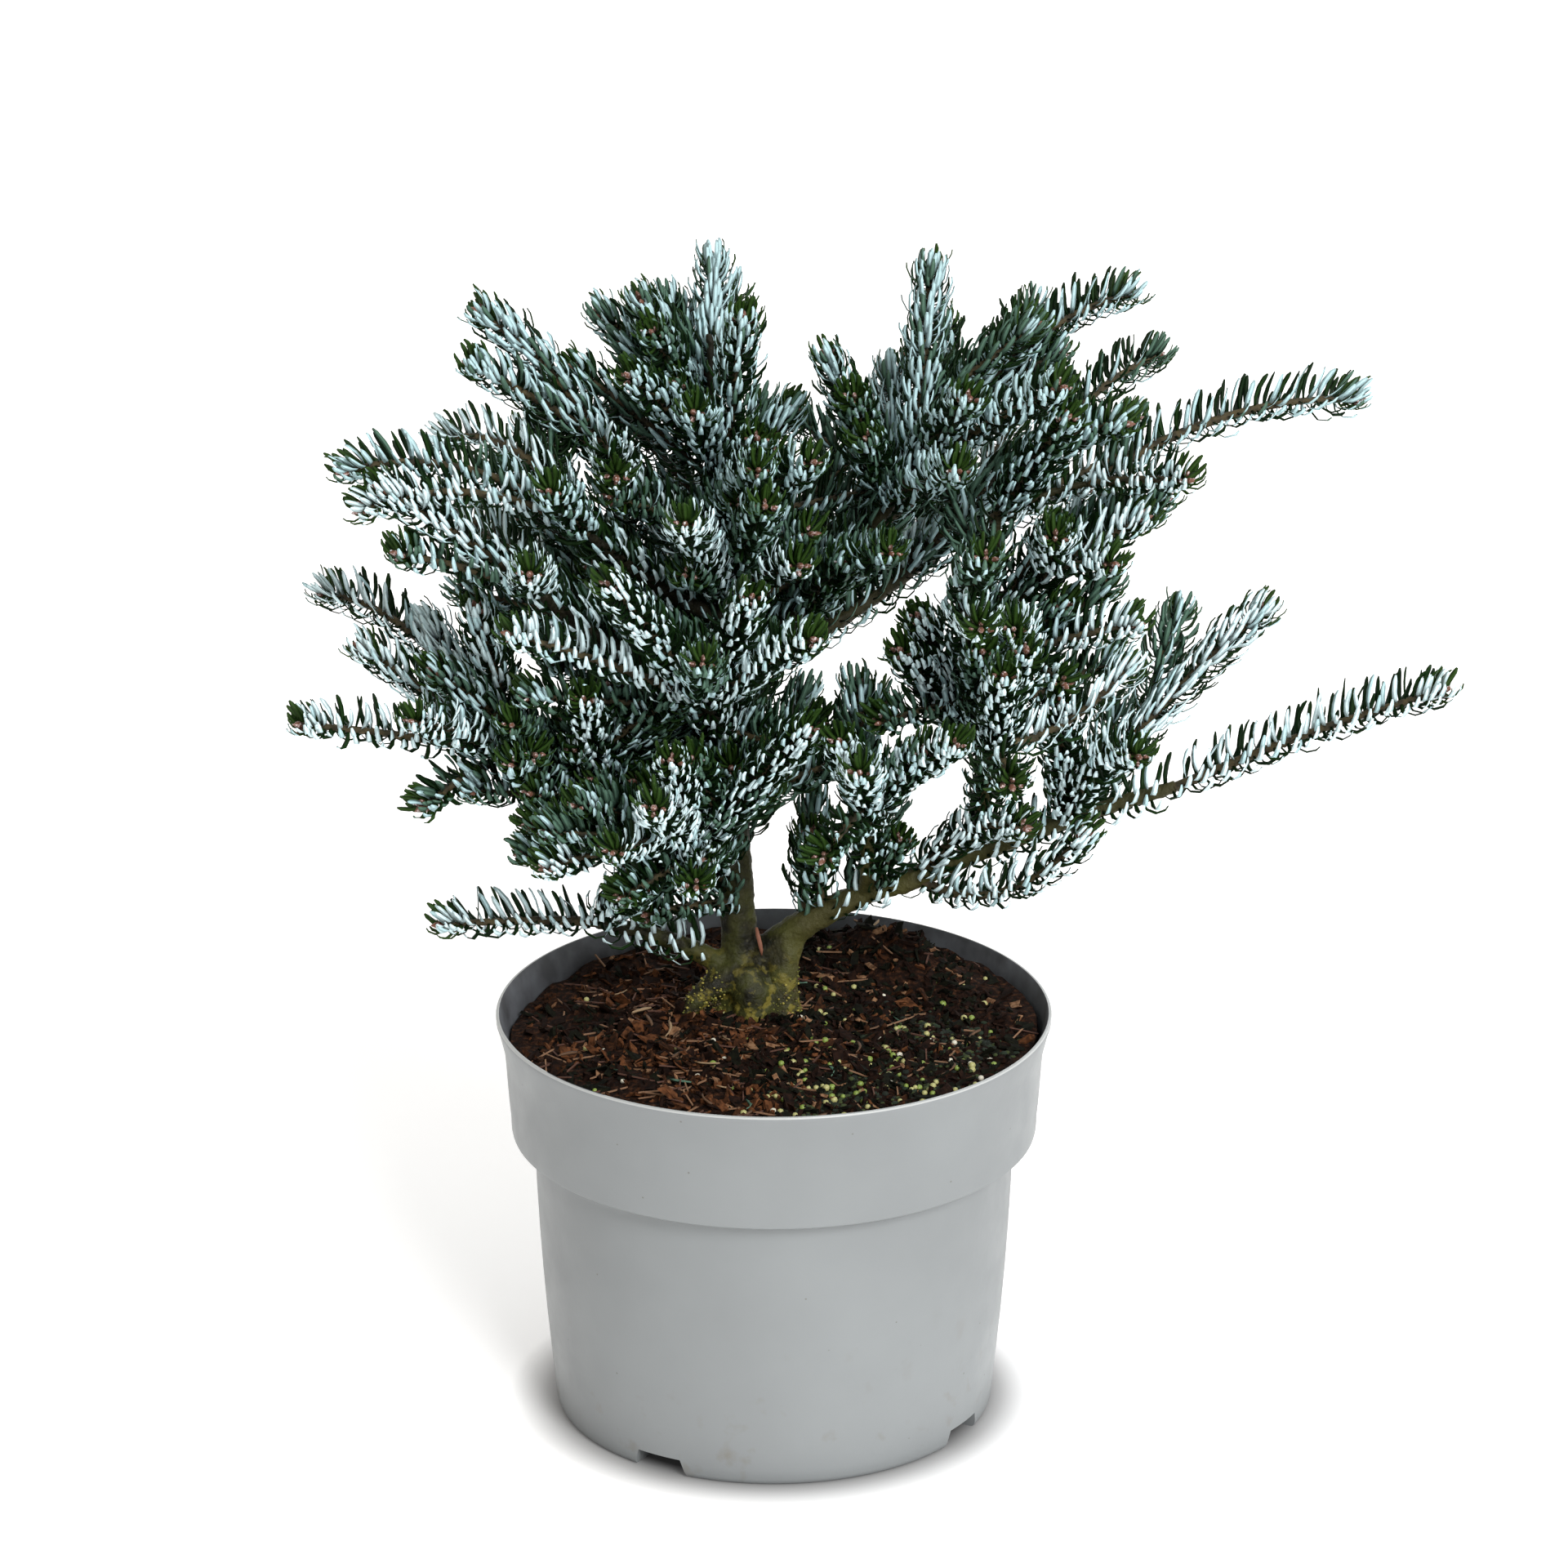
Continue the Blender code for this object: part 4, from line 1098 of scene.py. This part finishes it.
def shoot_needles(shoot):
    """Every needle of a shoot: where it leaves, how it starts, where it curls to, and its sizes."""
    is_limb = shoot.fullness < LIMB_FULLNESS
    is_inner = shoot.radius < INNER_RADIUS
    length = line_length(shoot.points)
    climb = (shoot.points[-1] - shoot.points[0]).normalized().z
    crowding = 1 if is_limb or is_inner else LEVEL_CROWDING + STEEP_CROWDING * steepness(climb)
    count_body = int(NEEDLES_PER_METRE * shoot.fullness * crowding * max(length - TIP_LENGTH, 0.005))
    count_tip = LIMB_TIP_NEEDLES if is_limb else TIP_NEEDLES
    body = np.linspace(0.003, length - TIP_LENGTH, count_body)
    tip = np.linspace(length - TIP_LENGTH, length - 0.0008, count_tip)
    distance = np.concatenate([body, tip])
    count = len(distance)
    distance = distance + deal.uniform(-0.0004, 0.0004, count)
    place, way = along_line(shoot.points, distance)
    nearness = np.clip((distance - (length - TIP_REACH)) / TIP_REACH, 0, 1) * (not is_limb)

    azimuth = np.arange(count) * GOLDEN_ANGLE + deal.uniform(0, math.tau) + deal.normal(0, 0.16, count)
    azimuth = (azimuth + math.pi) % math.tau - math.pi
    level = 1 - steepness(way[:, 2])
    azimuth = azimuth + 0.12 * np.sin(azimuth) * level
    up = np.array([0.0, 0.0, 1.0]) - way * way[:, 2:3]
    fallback = np.cross(way, [0.0, 1.0, 0.0])
    up = np.where(np.linalg.norm(up, axis=1, keepdims=True) > 0.12, up, fallback)
    up = unit(up)
    side = np.cross(way, up)
    radial = np.cos(azimuth)[:, None] * up + np.sin(azimuth)[:, None] * side

    underneath = (1 - np.cos(azimuth)) / 2
    beside = np.sin(azimuth) ** 2
    nested = nearness * (1 - underneath)
    leave = LEAVING_ANGLE - 6 * level + 12 * underneath * level
    leave = np.radians(leave + deal.normal(0, LEAVING_PLAY, count) - 14 * nearness)
    start_way = np.cos(leave)[:, None] * way + np.sin(leave)[:, None] * radial
    start_way = unit(start_way - (DROOP * level * beside * (1 - nearness))[:, None] * up)
    flat = level[:, None]
    lift = LIFT * flat * (1 - 0.80 * nested[:, None])
    forward = (FORWARD - LESS_FORWARD_LEVEL * flat) * way
    goal = unit(forward + lift * up - (INWARD - LESS_INWARD_LEVEL * flat) * radial)
    hooked = (HOOK * underneath - HOOK_EASING * underneath**2) * (1 - 0.90 * nested)
    curl = STEEP_CURL + (hooked - CURL_LOSS_LEVEL) * level
    curl = np.radians(curl + deal.normal(0, CURL_PLAY, count) - 6 * nearness)
    curl = np.maximum(curl, LEAST_CURL)
    sizes = NEEDLE_LENGTH * (1 - TIP_SHORTENING * nearness) * deal.normal(1.0, 0.07, count)
    sizes *= np.clip(0.72 + distance / 0.025, 0, 1) * (LIVE_LENGTH + STEEP_LENGTH * (1 - level))
    widths = NEEDLE_WIDTH * deal.normal(1.0, 0.06, count)
    twist = deal.normal(0, INNER_TWIST_PLAY if is_inner else TWIST_PLAY, count)
    twist += 0.9 * np.tanh(3 * azimuth) * np.maximum(np.cos(azimuth), 0) * level
    twist *= 1 - 0.8 * nearness
    base = place + radial * TWIG_RADIUS * shoot.radius * 0.6
    return base, start_way, goal, sizes, widths, curl, twist, nearness


def blades(base, start_way, goal, sizes, widths, curl, twist):
    """Corner points of closed blades, three to a station, shape (needles, stations, 3, 3)."""
    bend_way = unit(goal - start_way * np.sum(goal * start_way, axis=1, keepdims=True))
    across = np.cross(start_way, bend_way)
    turned_by = curl[:, None] * STATIONS[None, :]
    reach = sizes / curl
    forward = (np.sin(turned_by) * reach[:, None])[..., None] * start_way[:, None, :]
    sidewards = ((1 - np.cos(turned_by)) * reach[:, None])[..., None] * bend_way[:, None, :]
    spine = base[:, None, :] + forward + sidewards
    outward = np.sin(turned_by)[..., None] * start_way[:, None, :]
    outward = outward - np.cos(turned_by)[..., None] * bend_way[:, None, :]
    turn = twist[:, None] * (0.3 + STATIONS[None, :])
    wide = np.cos(turn)[..., None] * across[:, None, :] + np.sin(turn)[..., None] * outward
    face = np.cos(turn)[..., None] * outward - np.sin(turn)[..., None] * across[:, None, :]
    half = (widths[:, None] * WIDTHS[None, :] / 2)[..., None]
    corners = [spine - wide * half, spine + wide * half, spine - face * NEEDLE_THICKNESS]
    return np.stack(corners, 2)


BLADE_FACES = np.array(ring_faces(len(STATIONS), 3))
LAST_CORNER = 3 * (len(STATIONS) - 1)
BLADE_ENDS = np.array([(2, 1, 0), (LAST_CORNER, LAST_CORNER + 1, LAST_CORNER + 2)])


def blade_mesh(name, corners, silver_slots, green_slots, end_slot):
    """Closed blades as one mesh, one slot for each blade's silver side and one for its other two."""
    first_corner = (np.arange(len(corners)) * corners.shape[1] * 3)[:, None, None]
    quads = (BLADE_FACES[None] + first_corner).reshape(-1, 4)
    ends = (BLADE_ENDS[None] + first_corner).reshape(-1, 3)
    is_silver = np.arange(len(BLADE_FACES)) % 3 == 0
    slots = np.where(is_silver[None], silver_slots[:, None], green_slots[:, None]).ravel()
    points = corners.reshape(-1, 3)
    return mesh_from_quads(name, points, quads, slots, triangles=ends, end_slot=end_slot)


# Silver in lit and shaded copies from bright to dim, the dim ones painted shade; and green from dark to the
# light green of the tips
SILVERS = [(0.74, 0.93, 0.96), (0.50, 0.71, 0.74), (0.085, 0.160, 0.115)]
GREENS = [(0.005, 0.018, 0.004), (0.010, 0.032, 0.006), (0.024, 0.056, 0.009)]
FIRST_GREEN = len(SILVERS)
needle_finishes = [
    new_material(f"needle_{kind}_{index + 1}", colour, roughness, DULL_SPECULAR)
    for kind, roughness, colours in (("silver", 0.60, SILVERS), ("green", 0.45, GREENS))
    for index, colour in enumerate(colours)
]
HIGH_FROM = 0.42  # shoots that end above this aren't of the brightest silver
SHADED_SILVER_SHARE = 0.15
INNER_SHADED_SHARE = 0.72
SHADED_SPRAYS = 0.18
SHADED_SPRAY_SHARE = 0.60
MIDDLE_GREEN_SHARE = 0.35
TIP_GREEN_FROM = 0.45
SILVERY_MASSES = ["foliage_right_long", "foliage_right_upper", "foliage_left_foot", "foliage_leader"]


def needle_piece(name, masses):
    """All the needles of some masses as one mesh, their tints dealt out by spray, dim silver as painted
    shade.
    """
    corners, silver_slots, green_slots = [], [], []
    for shoot in shoots:
        if shoot.mass not in masses:
            continue
        *shape, nearness = shoot_needles(shoot)
        corners.append(blades(*shape))
        # Inner shoots, and some sprays at random, take more of the dim silvers: painted shade.
        brightest, shaded_share = (0 if shoot.points[-1].z < HIGH_FROM else 1), SHADED_SILVER_SHARE
        if shoot.radius < INNER_RADIUS:
            brightest, shaded_share = 1, INNER_SHADED_SHARE
        if deal.random() < SHADED_SPRAYS and shoot.mass not in SILVERY_MASSES:
            brightest, shaded_share = 1, SHADED_SPRAY_SHARE
        shaded_needles = deal.random(len(nearness)) < shaded_share
        silver_slots.append(np.where(shaded_needles, brightest + 1, brightest))
        is_middle = deal.random(len(nearness)) < MIDDLE_GREEN_SHARE
        green = np.where(is_middle, FIRST_GREEN + 1, FIRST_GREEN)
        green_slots.append(np.where(nearness > TIP_GREEN_FROM, FIRST_GREEN + 2, green))
    slots = np.concatenate(silver_slots), np.concatenate(green_slots)
    piece = blade_mesh(name, np.concatenate(corners), *slots, end_slot=FIRST_GREEN)
    for finish in needle_finishes:
        piece.data.materials.append(finish)
    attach(piece, "root")
    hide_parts(*masses)


NEEDLE_PIECES = {
    "needles_top_left": ["foliage_leader", "foliage_top_left", "foliage_top_front", "foliage_front_upper"],
    "needles_top_right": [
        "foliage_top_mid", "foliage_top_right", "foliage_upper_right_back", "foliage_upper_right_front",
        "foliage_right_upper",
    ],
    "needles_left_upper": [
        "foliage_upper_left", "foliage_left_upper", "foliage_left_mid", "foliage_left_front",
    ],
    "needles_left_low": [
        "foliage_left_low", "foliage_left_back", "foliage_left_inner", "foliage_left_foot",
        "foliage_front_low_left",
    ],
    "needles_right": [
        "foliage_right_long", "foliage_right_low", "foliage_right_foot", "foliage_right_rise",
        "foliage_right_mid", "foliage_right_inner",
    ],
    "needles_front": ["foliage_front", "foliage_front_low", "foliage_low_front_right", "foliage_low_front"],
    "needles_front_right": ["foliage_front_right", "foliage_front_right_low"],
    "needles_back_left": ["foliage_back_left", "foliage_back_left_upper", "foliage_back"],
    "needles_back_right": ["foliage_back_upper", "foliage_back_right", "foliage_back_right_upper"],
}
for name, masses in NEEDLE_PIECES.items():
    needle_piece(name, masses)

FALLEN_NEEDLES = 44
fallen_places = scatter_on_mix(FALLEN_NEEDLES, (0.0, -0.02), 0.055)
fallen_places[:, 2] += 0.0016
lying, beside_them = turned_frames(FALLEN_NEEDLES, 0.12)[:2]
fallen_corners = blades(
    fallen_places,
    lying,
    beside_them,
    NEEDLE_LENGTH * deal.uniform(0.75, 1.0, FALLEN_NEEDLES),
    np.full(FALLEN_NEEDLES, NEEDLE_WIDTH * 0.8),
    deal.uniform(0.5, 1.5, FALLEN_NEEDLES),
    deal.normal(1.2, 0.4, FALLEN_NEEDLES),
)
tints = deal.choice(3, FALLEN_NEEDLES, p=[0.25, 0.45, 0.30])
fallen = blade_mesh("fallen_needles", fallen_corners, tints, tints, end_slot=1)
# The fallen needles' first tint is the darkest silver, the copy that stands for painted shade.
fallen.data.materials.append(needle_finishes[2])
add_finishes(fallen, [
    ("needle_dead_brown", (0.110, 0.055, 0.026), 0.70),
    ("needle_dead_tan", (0.300, 0.200, 0.110), 0.70),
])
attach(fallen, "root")

# ---------------------------------------------------------------- winter buds
# Four small pointed buds at the end of every twig, brown under patches of pale resin, and some of them
# with a bead of it near the tip. Each is one closed egg of four rings.

BUD_RADIUS = 0.0013
BUD_LENGTH = 0.0038
BUD_SPACING = 0.0030
BUD_RINGS = [(0.0, 0.60), (0.30, 1.0), (0.66, 0.68), (1.0, 0.14)]  # (share of the length, girth)
BUD_SIDES = 6
BEAD_SHARE = 0.3
BEAD_RADIUS = 0.0005
BEAD_LENGTH = 0.0010
BEAD_SLOT = 2
RESIN_PATCHES = [(0.56, (0.28, 0.16, 0.13)), (0.65, (0.62, 0.51, 0.51))]
bud_points, bud_quads, bud_slots = [], [], []


def add_blob(centre, way, radius, length, slot):
    """A small closed egg of four rings, added to the buds' points, faces and slots."""
    helper = Vector((0, 0, 1)) if abs(way.z) < 0.9 else Vector((1, 0, 0))
    side = way.cross(helper).normalized()
    other = way.cross(side)
    first = len(bud_points)
    for share, girth in BUD_RINGS:
        for step in range(BUD_SIDES):
            angle = math.tau * step / BUD_SIDES
            rim = side * math.cos(angle) + other * math.sin(angle)
            bud_points.append(centre + way * length * share + rim * radius * girth)
    bud_quads.extend(ring_faces(len(BUD_RINGS), BUD_SIDES, first))
    for start in (first, len(bud_points) - BUD_SIDES):
        bud_quads.append((start, start + 1, start + 2, start + 3))
        bud_quads.append((start, start + 3, start + 4, start + 5))
    bud_slots.extend([slot] * (len(bud_quads) - len(bud_slots)))


for shoot in shoots:
    if shoot.fullness < LIMB_FULLNESS:
        continue
    tip = shoot.points[-1]
    way = (tip - shoot.points[-2]).normalized()
    helper = way.cross(Vector((0.1, 0.1, 0.98))).normalized()
    other = way.cross(helper)
    for bud in range(4):
        lean = (Vector(), helper, -helper, other * chance.choice((-1, 1)))[bud]
        size = chance.uniform(0.75, 1.10) * (1.15 if bud == 0 else 0.95) * min(shoot.radius, 1.0)
        centre = tip + lean * BUD_SPACING * (0.6 if bud == 3 else 1.0) - way * (0.0 if bud == 0 else 0.0014)
        bud_way = (way + lean * chance.uniform(0.5, 1.0)).normalized()
        add_blob(centre, bud_way, BUD_RADIUS * size, BUD_LENGTH * size, bud % 2)
        if chance.random() < BEAD_SHARE:
            bead = centre + bud_way * BUD_LENGTH * size * 0.75 + lean * 0.0006
            add_blob(bead, way, BEAD_RADIUS, BEAD_LENGTH, BEAD_SLOT)
bud_corners = np.array([list(point) for point in bud_points])
buds = mesh_from_quads("buds", bud_corners, np.array(bud_quads), np.array(bud_slots))
face_outward(buds)
for bud_name, scales in (("bud_red_brown", (0.165, 0.066, 0.038)), ("bud_brown", (0.085, 0.036, 0.020))):
    bud_finish = new_material(bud_name, scales, 0.60)
    crust = noise_of(bud_finish, 900, 3)
    feed(bud_finish, "Base Color", ramp(bud_finish, crust, [(0.49, scales), *RESIN_PATCHES]))
    add_bump(bud_finish, crust, 0.0004)
    buds.data.materials.append(bud_finish)
add_finishes(buds, [("resin_bead", (0.70, 0.68, 0.68), 0.25)])
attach(buds, "root")

# ---------------------------------------------------------------- floor, light and camera
# A pale floor that glows faintly and has a painted contact shadow close round the pot's foot, a white
# surround that grows dim and warm to the left, a wide soft sun from the front right and a small warm lamp
# at the back left.

FLOOR_WHITE = (0.92, 0.92, 0.92)
FOOT_SHADOW_GREY = (0.36, 0.36, 0.36)
FOOT_SHADE = (0.03, 0.03, 0.03)
FOOT_SHADE_FROM = 0.082
FOOT_SHADE_TO = 0.112
FLOOR_GLOW = 0.32
SURROUND_DIM, SURROUND_BRIGHT = 0.02, 0.95
SURROUND_WARM = (1.0, 0.84, 0.64)
SURROUND_WHITE = (1.0, 1.0, 1.0)
KEY_POWER = 2.55
KEY_ANGLE = math.radians(22)
FILL_POWER = 4
FILL_SIZE = 1.2
FILL_WARM = (1.0, 0.88, 0.72)
bpy.ops.mesh.primitive_plane_add(size=14, location=(0, 1.5, 0))
floor = name_active("floor")
bpy.ops.object.transform_apply(location=True)
pale_floor = new_material("pale_floor", FLOOR_WHITE, 0.9)
flat_place = add_node(pale_floor, "ShaderNodeMapping", Vector=place_of(pale_floor), Scale=(1, 1, 0))
# The floor's colour and glow fall off close round the pot's foot: a painted contact shadow.
from_pot = add_node(
    pale_floor, "ShaderNodeVectorMath", operation="LENGTH", Vector=flat_place.outputs["Vector"]
)
openness = scaled(pale_floor, from_pot.outputs["Value"], FOOT_SHADE_FROM, FOOT_SHADE_TO, 0.0, 1.0)
floor_tint = ramp(pale_floor, openness, [(0.0, FOOT_SHADE), (0.45, FOOT_SHADOW_GREY), (1.0, FLOOR_WHITE)])
feed(pale_floor, "Base Color", floor_tint)
feed(pale_floor, "Emission Color", floor_tint)
principled(pale_floor).inputs["Emission Strength"].default_value = FLOOR_GLOW
floor.data.materials.append(pale_floor)

surround = bpy.data.worlds.new("surround")
surround.use_nodes = True
outward = add_node(surround, "ShaderNodeTexCoord").outputs["Generated"]
sideways = add_node(surround, "ShaderNodeSeparateXYZ", Vector=outward).outputs["X"]
brightness = scaled(surround, sideways, -0.90, -0.20, SURROUND_DIM, SURROUND_BRIGHT)
tint = ramp(surround, brightness, [(0.0, SURROUND_WARM), (0.9, SURROUND_WHITE)])
background = surround.node_tree.nodes["Background"]
surround.node_tree.links.new(brightness, background.inputs["Strength"])
surround.node_tree.links.new(tint, background.inputs["Color"])
bpy.context.scene.world = surround


def add_lamp(name, kind, place, aim, power):
    bpy.ops.object.light_add(type=kind, location=place)
    lamp = name_active(name)
    lamp.data.energy = power
    lamp.rotation_euler = (Vector(aim) - Vector(place)).to_track_quat("-Z", "Y").to_euler()
    return lamp


key_lamp = add_lamp("key_lamp", "SUN", (1.1, -2.3, 1.9), (0, 0, 0.25), KEY_POWER)
key_lamp.data.angle = KEY_ANGLE
fill_lamp = add_lamp("fill_lamp", "AREA", (-1.7, 0.9, 1.7), (0, 0, 0.30), FILL_POWER)
fill_lamp.data.size = FILL_SIZE
fill_lamp.data.color = FILL_WARM

bpy.ops.object.camera_add(location=(0.0042, -2.592, 1.232), rotation=(math.radians(90 - 20.3), 0, 0))
camera = name_active("camera")
camera.data.lens = 155.25
camera.data.sensor_width = 36
bpy.context.scene.camera = camera
bpy.context.scene.view_settings.view_transform = "Standard"
